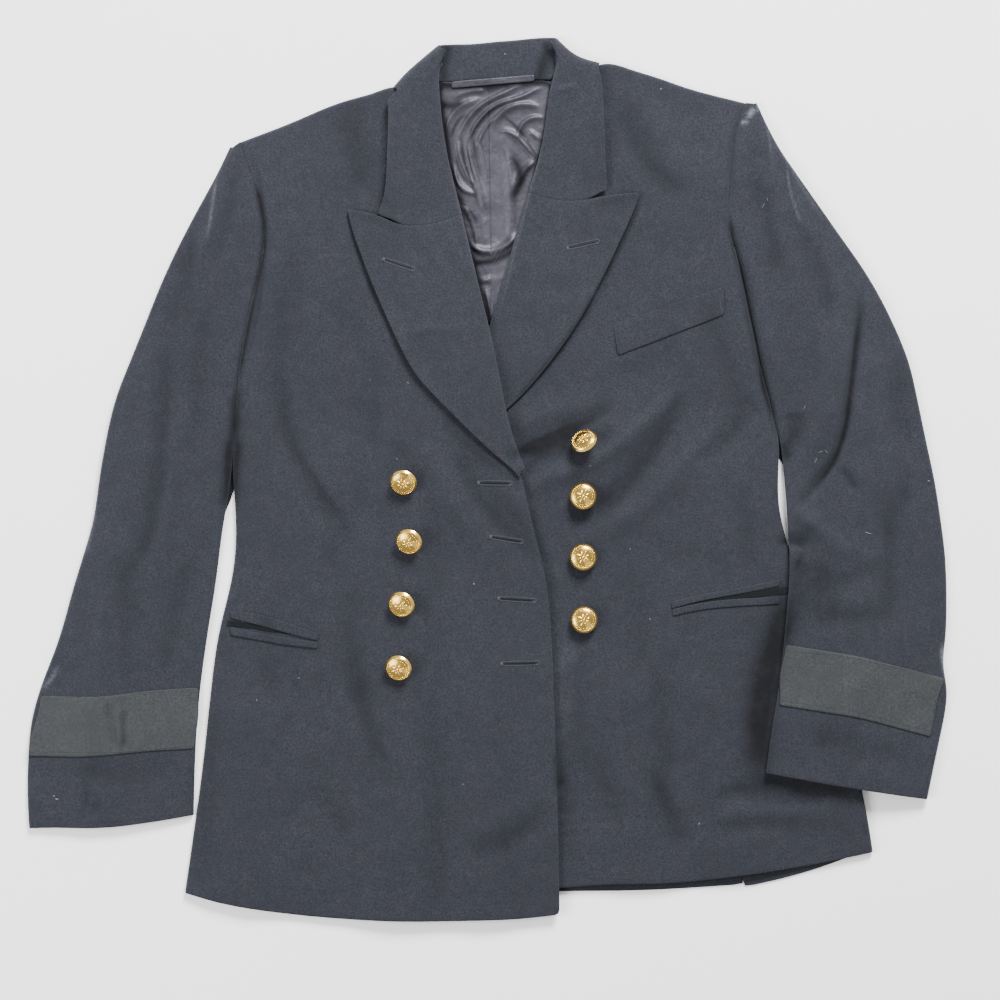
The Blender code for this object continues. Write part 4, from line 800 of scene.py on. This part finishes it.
def satin_finish(name, share):
    """Grey satin lining, with a soft broken shine and very fine ribs."""
    base = shaded(tuple(bpy.context.scene.jacket_cloth.satin), share)
    made = Finish(name)
    cloudy = made.noise(0.016, 4.0, 0.65)
    fine = made.noise(0.0035, 3.0, 0.6, distortion=0.6)
    grain = made.noise(0.0015, 2.0, 0.7)
    threads = made.lines(0.0006, made.turned(3.0), "X", 0.5)
    colour = made.mixed(made.span(cloudy, 0.38, 0.64), shaded(base, 0.55), shaded(base, 1.4))
    colour = made.mixed(made.span(grain, 0.36, 0.66, 0.0, 0.5), colour, shaded(base, 0.6))
    colour = made.mixed(made.span(threads, 0.3, 0.8, 0.0, 0.15), colour, shaded(base, 0.7))
    # Painted shade at the opening's edge and in the folds, with the darker middle seam; it also dulls the
    # shine's tint
    shade_and_seam = made.maths("MULTIPLY", made.attribute("painted_shade_and_dark_marks"), 0.95)
    colour = made.mixed(shade_and_seam, colour, shaded(base, 0.12))
    ripple = made.bump(made.noise(0.012, 2.0, 0.5, distortion=0.6), 0.0022, 0.35)
    rough = made.bump(fine, 0.0005, 0.25, ripple)
    ribbed = made.bump(threads, 0.00005, 0.3, rough)
    made.shader.inputs["Specular IOR Level"].default_value = 0.55
    shine = made.mixed(shade_and_seam, (0.84, 0.82, 1.0), (0.06, 0.06, 0.08))
    made.feed(shine, made.shader.inputs["Specular Tint"])
    made.shader.inputs["Sheen Weight"].default_value = 0.03
    return made.done(colour, made.span(fine, 0.3, 0.7, 0.44, 0.56), ribbed)


def thread_finish(name, share):
    """Sewing thread, some lighter or darker than the serge."""
    base = shaded(tuple(bpy.context.scene.jacket_cloth.serge), share)
    made = Finish(name)
    grain = made.noise(0.0011, 2.0, 0.6)
    colour = made.mixed(made.span(grain, 0.3, 0.7), shaded(base, 0.75), shaded(base, 1.3))
    return made.done(colour, 0.7, made.bump(grain, 0.0002, 0.5))


def gilt_finish():
    """Gilding, bright on what stands up, with painted shade in the hollows."""
    gilt = tuple(bpy.context.scene.jacket_buttons.gilt)
    made = Finish("gilt")
    tarnish = made.noise(0.004, 3.0, 0.6)
    scratch = made.noise(0.0009, 2.0, 0.7)
    colour = made.mixed(made.span(tarnish, 0.45, 0.75, 0.0, 0.5), gilt, shaded(gilt, 0.7))
    # Painted shade on the ground between the raised parts
    colour = made.mixed(made.attribute("raised"), shaded(gilt, 0.3), colour)
    made.shader.inputs["Metallic"].default_value = 1.0
    return made.done(colour, made.span(tarnish, 0.3, 0.7, 0.16, 0.3), made.bump(scratch, 0.00006, 0.4))


def floor_finish():
    made = Finish("studio_floor")
    floor = tuple(bpy.context.scene.jacket_stage.floor)
    cloudy = made.noise(0.4, 2.0, 0.5)
    colour = made.mixed(made.span(cloudy, 0.3, 0.7), shaded(floor, 0.985), floor)
    return made.done(colour, 0.9, made.bump(cloudy, 0.0002, 0.1))


FINISHES = {}


def finish(name):
    """The named finish, made once."""
    if name not in FINISHES:
        makers = {
            "serge": lambda: serge_finish("navy_serge", 0.0),
            # Darker copies of the serge, for painted shade in gaps
            "serge_in_shade": lambda: serge_finish("navy_serge_in_shade", 8.0, 0.3),
            "serge_in_deep_shade": lambda: serge_finish("navy_serge_in_deep_shade", 8.0, 0.1),
            "serge_left_sleeve": lambda: serge_finish("navy_serge_left_sleeve", -18.0),
            "serge_right_sleeve": lambda: serge_finish("navy_serge_right_sleeve", 20.0),
            "braid": braid_finish,
            "satin": lambda: satin_finish("grey_satin_lining", 1.0),
            "satin_loop": lambda: satin_finish("grey_satin_loop", 0.34),
            "worked_thread": lambda: thread_finish("worked_thread", 1.9),
            "dark_thread": lambda: thread_finish("dark_thread", 0.35),
            "pale_thread": lambda: thread_finish("pale_thread", 7.5),
            "gilt": gilt_finish,
            "floor": floor_finish,
        }
        FINISHES[name] = makers[name]()
    return FINISHES[name]


SURFACES = {}
# Height in metres from which the cloth is sounded, above all of it
SOUNDED_FROM = 0.08


def surface_of(name):
    """A function that finds the top of a finished cloth, with its normal, at a place."""
    if name not in SURFACES:
        mesh = bpy.data.objects[name].data
        points = [tuple(vert.co) for vert in mesh.vertices]
        faces = [tuple(face.vertices) for face in mesh.polygons]
        SURFACES[name] = BVHTree.FromPolygons(points, faces)

    def look(x, y):
        above = Vector((x, y, SOUNDED_FROM))
        spot, normal, _, _ = SURFACES[name].ray_cast(above, Vector((0.0, 0.0, -1.0)))
        return (spot, normal) if spot else None
    return look


class JACKET_OT_body(bpy.types.Operator):
    """Make the fronts, backs and side bodies"""
    bl_idname = "jacket.body"
    bl_label = "Fronts and back"

    def execute(self, context):
        drape("front_right", RIGHT, 3, finish("serge"))
        drape("front_left", LEFT, 3, finish("serge"))
        for node in ("back_left", "back_right", "side_body_left", "side_body_right"):
            drape(node, BACK, 2, finish("serge"))
        return {"FINISHED"}


class JACKET_OT_collar(bpy.types.Operator):
    """Make the lapels and the collar"""
    bl_idname = "jacket.collar"
    bl_label = "Lapels and collar"

    def execute(self, context):
        for node, layer in (("lapel_right", RIGHT_LAPEL), ("collar_right", RIGHT_LAPEL),
                            ("lapel_left", LEFT_LAPEL), ("collar_left", LEFT_LAPEL),
                            ("collar_back", BACK)):
            drape(node, layer, 3, finish("serge"))
        return {"FINISHED"}


class JACKET_OT_sleeves(bpy.types.Operator):
    """Make the top and under sleeves"""
    bl_idname = "jacket.sleeves"
    bl_label = "Sleeves"

    def execute(self, context):
        drape("top_sleeve_left", BACK, 3, finish("serge_left_sleeve"))
        drape("under_sleeve_left", BACK, 2, finish("serge_left_sleeve"))
        drape("top_sleeve_right", RIGHT_SLEEVE, 3, finish("serge_right_sleeve"))
        drape("under_sleeve_right", RIGHT_SLEEVE, 2, finish("serge_right_sleeve"))
        for row in RIBBONS[:2]:
            make_ribbon(*row)
        return {"FINISHED"}


# Ribbons of cloth that show dark in a gap, the allowances coloured with painted shade and the pocket
# mouths sheets of painted shade: name, cloth they lie on or none, points on the grid with half width and
# height in millimetres
RIBBONS = [
    ("armhole_allowance_left", "",
     [((240, 146), 5, 2.6), ((252, 172), 5, 2.6), ((261, 205), 5, 2.6), ((265, 240), 5, 2.6),
      ((262, 275), 5, 2.6), ((255, 303), 5, 2.6), ((247, 332), 5.5, 2.4), ((241, 372), 6, 1.6),
      ((236, 412), 6, 1.0), ((233, 446), 6.5, 0.8), ((230, 474), 6, 0.7), ((226, 498), 4, 0.7),
      ((222, 516), 1.2, 0.7)]),
    ("armhole_allowance_right", "",
     [((744, 110), 5, 2.6), ((734, 140), 5, 2.6), ((728, 180), 5, 2.6), ((727, 220), 5, 2.6),
      ((734, 256), 5, 2.6), ((744, 292), 5, 2.6), ((752, 326), 5.5, 2.4), ((761, 368), 6, 1.6),
      ((771, 408), 6, 1.0), ((779, 440), 5, 0.8), ((784, 458), 3.5, 0.7), ((788, 468), 1.5, 0.7)]),
    ("pocket_mouth_shade_left", "cloth_front_left",
     [((227, 623), 2.6, 0.35), ((250, 626), 2.2, 0.35), ((285, 632), 1.4, 0.35), ((319, 638), 0.4, 0.35)]),
    ("pocket_mouth_shade_right", "cloth_front_right",
     [((671, 608), 0.4, 0.35), ((700, 602), 1.4, 0.35), ((745, 596), 2.2, 0.35), ((788, 590), 3.2, 0.35)]),
]
# Thickness of the allowances and of the pocket mouths, in millimetres
RIBBON_CLOTH = 0.7
MOUTH_CLOTH = 0.1


def make_ribbon(name, under, rows):
    """A ribbon of cloth along a line of points, as wide at each of them as its row says."""
    line = on_grid([row[0] for row in rows])
    ways = np.gradient(line, axis=0)
    look = surface_of(under) if under else None
    shape = bmesh.new()
    verts = bmesh.ops.create_grid(shape, x_segments=len(rows) - 1, y_segments=2, size=1.0)["verts"]
    verts.sort(key=lambda vert: (round(vert.co.x, 4), vert.co.y))
    for index, vert in enumerate(verts):
        row = index // 3
        way = ways[row] / np.linalg.norm(ways[row])
        out = (index % 3 - 1) * rows[row][1] * MM
        vert.co = (line[row][0] - way[1] * out, line[row][1] + way[0] * out, rows[row][2] * MM)
    bmesh.ops.subdivide_edges(shape, edges=shape.edges, cuts=3, use_grid_fill=True)
    places = np.array([vert.co for vert in shape.verts])
    rise = lift(BACK, places[:, 0], places[:, 1], places[:, 2]) * MM
    for vert, held_up in zip(shape.verts, rise):
        vert.co.z += look(vert.co.x, vert.co.y)[0].z if look else held_up
    bmesh.ops.recalc_face_normals(shape, faces=shape.faces)
    thick = MOUTH_CLOTH if look else RIBBON_CLOTH
    bmesh.ops.solidify(shape, geom=shape.faces, thickness=thick * MM)
    # Painted shade: the pocket mouths take the darkest serge, the allowances a darker one
    new_piece(name, as_mesh(shape, name), finish("serge_in_deep_shade" if look else "serge_in_shade"))


class JACKET_OT_lining(bpy.types.Operator):
    """Make the lining in the neck and its hanger loop"""
    bl_idname = "jacket.lining"
    bl_label = "Lining"

    def execute(self, context):
        drape("lining_left", LINING, 4, finish("satin"))
        drape("lining_right", LINING, 4, finish("satin"))
        drape("hanger_loop", BACK, 3, finish("satin_loop"))
        return {"FINISHED"}


class JACKET_OT_pockets(bpy.types.Operator):
    """Make the pocket jets and the breast welt"""
    bl_idname = "jacket.pockets"
    bl_label = "Pockets"

    def execute(self, context):
        for side, layer in (("left", LEFT), ("right", RIGHT)):
            for jet in ("upper", "lower"):
                drape("pocket_jet_%s_%s" % (jet, side), layer, 3, finish("serge"))
        drape("breast_welt", RIGHT, 3, finish("serge"))
        for row in RIBBONS[2:]:
            make_ribbon(*row)
        return {"FINISHED"}


class JACKET_OT_braids(bpy.types.Operator):
    """Make the cuff braids"""
    bl_idname = "jacket.braids"
    bl_label = "Cuff braids"

    def execute(self, context):
        drape("cuff_braid_left", BACK, 3, finish("braid"))
        drape("cuff_braid_right", RIGHT_SLEEVE, 3, finish("braid"))
        return {"FINISHED"}


# Buttons: node, place on the grid, lean in degrees, heading of the lean in degrees from +X
BUTTONS = [
    ("button_left_1", (403.6, 483.0), 25.0, 255.0),
    ("button_left_2", (409.0, 542.0), 24.0, 240.0),
    ("button_left_3", (401.5, 604.6), 22.0, 235.0),
    ("button_left_4", (398.6, 668.0), 22.0, 240.0),
    ("button_right_1", (583.5, 440.7), 42.0, 122.0),
    ("button_right_2", (583.0, 496.0), 3.0, 90.0),
    ("button_right_3", (583.0, 557.0), 2.0, 90.0),
    ("button_right_4", (584.0, 619.5), 2.0, 90.0),
]
# Sizes of a button in millimetres; the rope and the ring are shares of the face's radius
SHANK = 5.0
SHANK_RADIUS = 2.6
RIM = 1.4
RIM_WIDTH = 0.6
DOME = 3.6
SIDES = 40
ROPE = 0.87
RING = 0.72
BUMPS = 64
# Long and short petals of the rosette: half length, share of the face's radius that they lie out
PETALS = ((2.6, 0.36), (1.9, 0.33))
# Painted shade on the ground between the raised parts: how bright it is, against 1 for them
GROUND_SHADE = 0.25


def spun(shape, profile, steps):
    """A turned form from a profile of radius and height in millimetres."""
    verts = [shape.verts.new((radius * MM, 0.0, height * MM)) for radius, height in profile]
    edges = [shape.edges.new(pair) for pair in zip(verts, verts[1:])]
    bmesh.ops.spin(shape, geom=verts + edges, cent=(0, 0, 0), axis=(0, 0, 1), angle=math.tau, steps=steps,
                   use_merge=True, use_duplicate=False)
    bmesh.ops.remove_doubles(shape, verts=shape.verts, dist=WELD)


def dome_height(radius, edge):
    """Height of the button's face above its back, in millimetres."""
    share = min(1.0, radius / edge)
    return SHANK + RIM + DOME * math.sqrt(max(0.0, 1.0 - share ** 2))


def sized(long, wide, high):
    """A scaling to half sizes given in millimetres."""
    return Matrix.Diagonal((long * MM, wide * MM, high * MM, 1.0))


def on_face(angle, out, face, rise):
    """A place out from the middle of the button's face, raised by rise millimetres."""
    spot = Vector((out, 0.0, dome_height(out, face) + rise)) * MM
    return Matrix.Rotation(angle, 4, "Z") @ Matrix.Translation(spot)


def bead(shape, matrix, subdivisions=1):
    made = bmesh.ops.create_icosphere(shape, subdivisions=subdivisions, radius=1.0)["verts"]
    bmesh.ops.transform(shape, matrix=matrix, verts=made)


def make_button(node, place, lean, heading):
    settings = bpy.context.scene.jacket_buttons
    radius = settings.radius / MM
    face = radius - RIM_WIDTH
    shape = bmesh.new()
    profile = [(0.0, SHANK + RIM + DOME)]
    for step in range(1, 9):
        angle = math.pi / 2.0 * step / 8.0
        profile.append((face * math.sin(angle), SHANK + RIM + DOME * math.cos(angle)))
    slope = math.radians(lean)
    # A button that leans has a longer shank, so that its rim stays clear of the cloth
    longer = max(0.0, radius * math.sin(slope) - SHANK * math.cos(slope) + 0.3)
    profile += [(radius - 0.1, SHANK + RIM * 0.8), (radius, SHANK + RIM * 0.4),
                (radius - RIM_WIDTH, SHANK), (SHANK_RADIUS, SHANK - 0.1), (SHANK_RADIUS * 0.8, 2.0),
                (SHANK_RADIUS, 0.3 - longer), (0.0, -longer)]
    relief = shape.verts.layers.float.new("raised")
    spun(shape, profile, SIDES)
    # Painted shade: the spun body is darker inside the rim, the rim and the beads stay bright
    for vert in shape.verts:
        outward = math.hypot(vert.co.x, vert.co.y) / MM / face
        vert[relief] = 1.0 if outward > 0.9 else GROUND_SHADE
    plain = len(shape.verts)
    twist = Matrix.Rotation(math.radians(28.0), 4, "Y") @ Matrix.Rotation(math.radians(38.0), 4, "Z")
    for turn in range(settings.strands):
        spot = on_face(math.tau * turn / settings.strands, face * ROPE, face, 0.1)
        bead(shape, spot @ twist @ sized(1.05, 0.38, 0.62))
    for turn in range(BUMPS):
        spot = on_face(math.tau * turn / BUMPS, face * RING, face, 0.0)
        bead(shape, spot @ sized(0.22, 0.45, 0.25))
    lean_out = Matrix.Rotation(math.radians(12.0), 4, "Y")
    for petal in range(8):
        long, out = PETALS[petal % 2]
        spot = on_face(math.tau * petal / 8.0, face * out, face, 0.05)
        bead(shape, spot @ lean_out @ sized(long, 0.85, 0.55), 2)
        rib = spot @ lean_out @ Matrix.Translation((0.0, 0.0, 0.5 * MM))
        bead(shape, rib @ sized(long * 0.7, 0.16, 0.2))
    bead(shape, Matrix.Translation((0.0, 0.0, (SHANK + RIM + DOME) * MM))
         @ sized(1.3, 1.3, 0.9), 2)
    shape.verts.ensure_lookup_table()
    for vert in shape.verts[plain:]:
        vert[relief] = 1.0
    bmesh.ops.recalc_face_normals(shape, faces=shape.faces)
    way = Vector((math.cos(math.radians(heading)), math.sin(math.radians(heading)), 0.0))
    facing = way * math.sin(slope)
    facing.z = math.cos(slope)
    low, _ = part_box(node)
    x, y = on_grid([place])[0]
    foot = low.z / MM + SHANK_RADIUS * math.sin(slope) + longer
    layer = LEFT if "left" in node else RIGHT
    foot += float(lift(layer, np.array([x]), np.array([y]), np.array([0.01]))[0])
    base = Vector((x, y, foot * MM)) - Vector((facing.x, facing.y, 0.0)) * (SHANK + RIM) * MM
    # Each rosette is turned differently about its own axis
    spin_about = Matrix.Rotation(math.radians(heading * 1.7), 4, "Z")
    turned = Matrix.Translation(base) @ facing.to_track_quat("Z", "Y").to_matrix().to_4x4() @ spin_about
    bmesh.ops.transform(shape, matrix=turned, verts=shape.verts)
    name = "gilt_" + node
    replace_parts(new_piece(name, as_mesh(shape, name), finish("gilt")), node)


class JACKET_OT_buttons(bpy.types.Operator):
    """Make the eight gilt buttons"""
    bl_idname = "jacket.buttons"
    bl_label = "Buttons"

    def execute(self, context):
        for row in BUTTONS:
            make_button(*row)
        return {"FINISHED"}


# Worked buttonholes: name, cloth they are cut in, bar end, eyelet end on the grid
BUTTONHOLES = [
    ("buttonhole_front_1", "cloth_front_left", (480, 483), (509, 483.4)),
    ("buttonhole_front_2", "cloth_front_left", (492, 537), (520, 541.5)),
    ("buttonhole_front_3", "cloth_front_left", (500, 598.5), (533, 600.5)),
    ("buttonhole_front_4", "cloth_front_left", (503, 663.6), (536, 663)),
    ("buttonhole_lapel_left", "cloth_lapel_left", (385, 260), (412, 269)),
    ("buttonhole_lapel_right", "cloth_lapel_right", (569, 248), (596, 242)),
]
# Sizes of a buttonhole in millimetres
STITCH_GAP = 0.55
HOLE_HALF_WIDTH = 2.0
EYELET_STITCHES = 11
BAR_STITCHES = 6
# The lapels' buttonholes stay shut: the width of their slit's painted shade as a share of that of the
# fronts'
LAPEL_SLIT = 0.4


def laid_on(look, x, y, rise):
    """A place on the cloth, raised by rise metres, and the cloth's normal there."""
    spot, normal = look(x, y)
    if normal.z < 0.0:
        normal = -normal
    return spot + normal * rise, normal


def stitch(shape, look, x, y, way, length, width, thick, rise=0.0001):
    """One stitch as a small lens lying on the cloth, along way."""
    spot, normal = laid_on(look, x, y, rise)
    along = Vector((way[0], way[1], 0.0))
    along = (along - normal * along.dot(normal)).normalized()
    across = normal.cross(along)
    turn = Matrix((along, across, normal)).transposed().to_4x4()
    bead(shape, Matrix.Translation(spot) @ turn @ Matrix.Diagonal((length, width, thick, 1.0)))


def make_buttonhole(name, cloth, bar, eyelet):
    """Two worked edges, an eyelet at one end, a bar at the other and between them the slit, a sheet of
    painted shade.
    """
    look = surface_of(cloth)
    start, end = (Vector(point) for point in on_grid([bar, eyelet]))
    way = (end - start).normalized()
    side = Vector((-way.y, way.x))
    length = (end - start).length
    shape = bmesh.new()
    steps = int(length / MM / STITCH_GAP)
    for step in range(steps + 1):
        along = start + way * length * step / steps
        open_out = 0.35 * MM * math.sin(math.pi * step / steps)
        for hand in (-1.0, 1.0):
            out = HOLE_HALF_WIDTH * MM * (0.92 + 0.08 * math.sin(step * 2.3 + hand)) + open_out
            place = along + side * hand * (out - 0.35 * MM)
            stitch(shape, look, place.x, place.y, side, 0.75 * MM, 0.24 * MM, 0.36 * MM)
    for turn in range(EYELET_STITCHES):
        angle = math.radians(-115.0 + 23.0 * turn)
        ray = way * math.cos(angle) + side * math.sin(angle)
        place = end + way * 0.9 * MM + ray * 1.9 * MM
        stitch(shape, look, place.x, place.y, ray, 1.05 * MM, 0.3 * MM, 0.42 * MM)
    for row in range(BAR_STITCHES):
        place = start - way * (0.4 + 0.32 * row) * MM
        stitch(shape, look, place.x, place.y, side, 2.3 * MM, 0.26 * MM, 0.5 * MM, 0.0002)
    new_piece(name, as_mesh(shape, name), finish("worked_thread"))
    held_open = 1.0 if "front" in name else LAPEL_SLIT
    # The slit is a thin sheet of painted shade laid on the cloth
    slit_shade = bmesh.new()
    for step in range(steps + 1):
        along = start + way * length * (0.04 + 0.94 * step / steps)
        wide = held_open * (0.95 + 0.35 * (step / steps) ** 3) * MM
        stitch(slit_shade, look, along.x, along.y, way, 0.5 * MM, wide, 0.22 * MM, 0.00004)
    new_piece(name + "_slit", as_mesh(slit_shade, name + "_slit"), finish("serge_in_deep_shade"))


# Rows of stitches: cloth, points on the grid, spacing, half length and half width in millimetres,
# turn from the row's way in degrees, thread
STITCHES = [
    ("cloth_cuff_braid_left", [(44, 699), (120, 694), (193, 689)], 1.3, 0.5, 0.16, 0, "dark_thread"),
    ("cloth_cuff_braid_left", [(41, 752), (120, 752), (192, 746)], 1.3, 0.5, 0.16, 0, "dark_thread"),
    ("cloth_cuff_braid_right", [(786, 650), (850, 657), (934, 676)], 1.3, 0.5, 0.16, 0, "dark_thread"),
    ("cloth_cuff_braid_right", [(781, 700), (850, 710), (930, 731)], 1.3, 0.5, 0.16, 0, "dark_thread"),
    ("cloth_breast_welt", [(719, 296), (721, 311)], 0.9, 0.8, 0.24, 70, "worked_thread"),
    ("cloth_breast_welt", [(619, 333), (624, 348)], 1.0, 0.5, 0.18, 0, "worked_thread"),
    ("cloth_hanger_loop", [(452, 80), (454, 86)], 0.5, 0.9, 0.2, 80, "worked_thread"),
    ("cloth_hanger_loop", [(531, 73), (532, 78)], 0.5, 0.9, 0.2, 80, "worked_thread"),
    ("cloth_hanger_loop", [(456, 81), (495, 78), (528, 75)], 1.1, 0.45, 0.14, 0, "dark_thread"),
    ("cloth_hanger_loop", [(457, 85.5), (495, 82), (529, 78)], 1.1, 0.45, 0.14, 0, "dark_thread"),
    ("cloth_top_sleeve_left", [(190, 756), (189, 785), (190, 812)], 1.1, 0.5, 0.2, 0, "dark_thread"),
    ("cloth_top_sleeve_left", [(86, 823), (131, 820), (190, 813)], 1.0, 0.5, 0.14, 0, "dark_thread"),
]


def make_stitches():
    """Every row of stitches, one piece for each thread."""
    shapes = {}
    for cloth, points, spacing, half_length, half_width, turn, thread in STITCHES:
        shape = shapes.setdefault(thread, bmesh.new())
        look = surface_of(cloth)
        line = on_grid(points)
        for first, second in zip(line[:-1], line[1:]):
            way = Vector(second - first)
            count = max(1, round(way.length / (spacing * MM)))
            heading = math.atan2(way.y, way.x) + math.radians(turn)
            for step in range(count):
                place = Vector(first) + way * (step + 0.5) / count
                if look(place.x, place.y):
                    stitch(shape, look, place.x, place.y, (math.cos(heading), math.sin(heading)),
                           half_length * MM, half_width * MM, 0.2 * MM, 0.00005)
    for thread, shape in shapes.items():
        name = "stitches_" + thread
        new_piece(name, as_mesh(shape, name), finish(thread))


class JACKET_OT_buttonholes(bpy.types.Operator):
    """Work the four front buttonholes, the two in the lapels and the rows of stitches"""
    bl_idname = "jacket.buttonholes"
    bl_label = "Buttonholes"

    def execute(self, context):
        for row in BUTTONHOLES:
            make_buttonhole(*row)
        make_stitches()
        return {"FINISHED"}


# Specks of lint by the cloth they lie on: place on the grid, half length and half width in
# millimetres, heading in degrees
LINT = {
    "cloth_front_left": [
        ((397, 459), 0.7, 0.4, 10), ((474, 584), 1.1, 0.6, 120), ((299, 678), 0.7, 0.5, 0),
        ((257, 700), 0.9, 0.4, 120), ((463, 784), 0.7, 0.4, 30), ((370, 380), 0.6, 0.4, 60),
        ((408, 383), 1.0, 0.4, 120)],
    "cloth_front_right": [
        ((650, 619), 0.8, 0.5, 0), ((699, 824), 1.4, 0.5, 70), ((555, 793), 0.6, 0.4, 0),
        ((661, 89), 0.8, 0.8, 0), ((630, 549), 0.7, 0.4, 30), ((590, 466), 2.0, 0.16, 10)],
    "cloth_top_sleeve_left": [((54, 796), 1.0, 0.5, 20), ((57, 799), 1.8, 0.6, 170)],
    "cloth_top_sleeve_right": [
        ((867, 533), 4.0, 0.35, 165), ((929, 481), 1.2, 0.5, 160), ((815, 461), 3.0, 0.2, 62),
        ((820, 452), 2.4, 0.2, 25), ((826, 452), 2.6, 0.2, 310), ((804, 408), 3.0, 0.18, 60),
        ((763, 206), 3.4, 0.18, 62), ((767, 200), 1.8, 0.18, 95)],
    "cloth_collar_back": [((505, 54), 0.7, 0.7, 0)],
}


class JACKET_OT_lint(bpy.types.Operator):
    """Scatter the few specks of lint that lie on the cloth"""
    bl_idname = "jacket.lint"
    bl_label = "Lint"

    def execute(self, context):
        shape = bmesh.new()
        for cloth, specks in LINT.items():
            for place, length, width, heading in specks:
                x, y = on_grid([place])[0]
                way = (math.cos(math.radians(heading)), math.sin(math.radians(heading)))
                stitch(shape, surface_of(cloth), x, y, way, length * MM, width * MM, 0.3 * MM)
        new_piece("lint", as_mesh(shape, "lint"), finish("pale_thread"))
        return {"FINISHED"}


# Half the floor's width and its distance below the cloth, in metres
FLOOR_REACH = 4.0
FLOOR_GAP = 0.0002
# Middle of what the camera sees, on the grid, and the height at which it sees its full width
SEEN_MIDDLE = (500.0, 500.0)
SEEN_HEIGHT = 0.006
SENSOR = 36.0
# Lights: name, place, size in metres, power in watts, point that it aims at
LIGHTS = [
    ("softbox", (0.8, 2.3, 1.85), 1.1, 290.0, (0.0, -0.1, 0.0)),
    ("fill", (-1.9, -0.4, 1.8), 1.4, 84.0, (0.0, 0.0, 0.0)),
]
SKY = 0.8


class JACKET_OT_stage(bpy.types.Operator):
    """Lay the floor and set the camera and the lights"""
    bl_idname = "jacket.stage"
    bl_label = "Stage"

    def execute(self, context):
        stage = context.scene.jacket_stage
        shape = bmesh.new()
        bmesh.ops.create_grid(shape, x_segments=8, y_segments=8, size=FLOOR_REACH)
        bmesh.ops.translate(shape, verts=shape.verts, vec=(0.0, 0.0, -FLOOR_GAP))
        floor = bpy.data.objects.new("floor", as_mesh(shape, "floor"))
        floor.data.materials.append(finish("floor"))
        context.scene.collection.objects.link(floor)
        centre = on_grid([SEEN_MIDDLE])[0]
        camera = bpy.data.cameras.new("camera")
        camera.lens = stage.lens
        camera.sensor_width = SENSOR
        camera.clip_end = 50.0
        holder = bpy.data.objects.new("camera", camera)
        holder.location = (centre[0], centre[1], stage.width * stage.lens / SENSOR + SEEN_HEIGHT)
        context.scene.collection.objects.link(holder)
        context.scene.camera = holder
        for name, place, size, power, aim in LIGHTS:
            light = bpy.data.lights.new(name, "AREA")
            light.size = size
            light.energy = power
            lamp = bpy.data.objects.new(name, light)
            lamp.location = place
            lamp.rotation_euler = (Vector(aim) - Vector(place)).to_track_quat("-Z", "Y").to_euler()
            context.scene.collection.objects.link(lamp)
        world = bpy.data.worlds.new("studio")
        world.use_nodes = True
        sky = world.node_tree.nodes["Background"]
        sky.inputs["Color"].default_value = (1.0, 1.0, 1.0, 1.0)
        sky.inputs["Strength"].default_value = SKY
        context.scene.world = world
        return {"FINISHED"}


STEPS = [JACKET_OT_body, JACKET_OT_collar, JACKET_OT_sleeves, JACKET_OT_lining, JACKET_OT_pockets,
         JACKET_OT_braids, JACKET_OT_buttons, JACKET_OT_buttonholes, JACKET_OT_lint, JACKET_OT_stage]


class VIEW3D_PT_jacket(bpy.types.Panel):
    """Lists the jacket's settings and the steps that make it"""
    bl_label = "Dress jacket"
    bl_idname = "VIEW3D_PT_jacket"
    bl_space_type = "VIEW_3D"
    bl_region_type = "UI"
    bl_category = "Jacket"

    def draw(self, context):
        for group in ("jacket_cloth", "jacket_buttons", "jacket_stage"):
            settings = getattr(context.scene, group)
            box = self.layout.box()
            for name in settings.bl_rna.properties.keys():
                if name not in ("rna_type", "name"):
                    box.prop(settings, name)
        for step in STEPS:
            self.layout.operator(step.bl_idname)


GROUPS = {"jacket_cloth": ClothSettings, "jacket_buttons": ButtonSettings, "jacket_stage": StageSettings}


def register():
    for name, group in GROUPS.items():
        bpy.utils.register_class(group)
        setattr(bpy.types.Scene, name, bpy.props.PointerProperty(type=group))
    for step in STEPS:
        bpy.utils.register_class(step)
    bpy.utils.register_class(VIEW3D_PT_jacket)


def unregister():
    bpy.utils.unregister_class(VIEW3D_PT_jacket)
    for step in reversed(STEPS):
        bpy.utils.unregister_class(step)
    for name, group in GROUPS.items():
        delattr(bpy.types.Scene, name)
        bpy.utils.unregister_class(group)


def main():
    register()
    for step in STEPS:
        group, name = step.bl_idname.split(".")
        getattr(getattr(bpy.ops, group), name)()


if __name__ == "__main__":
    main()
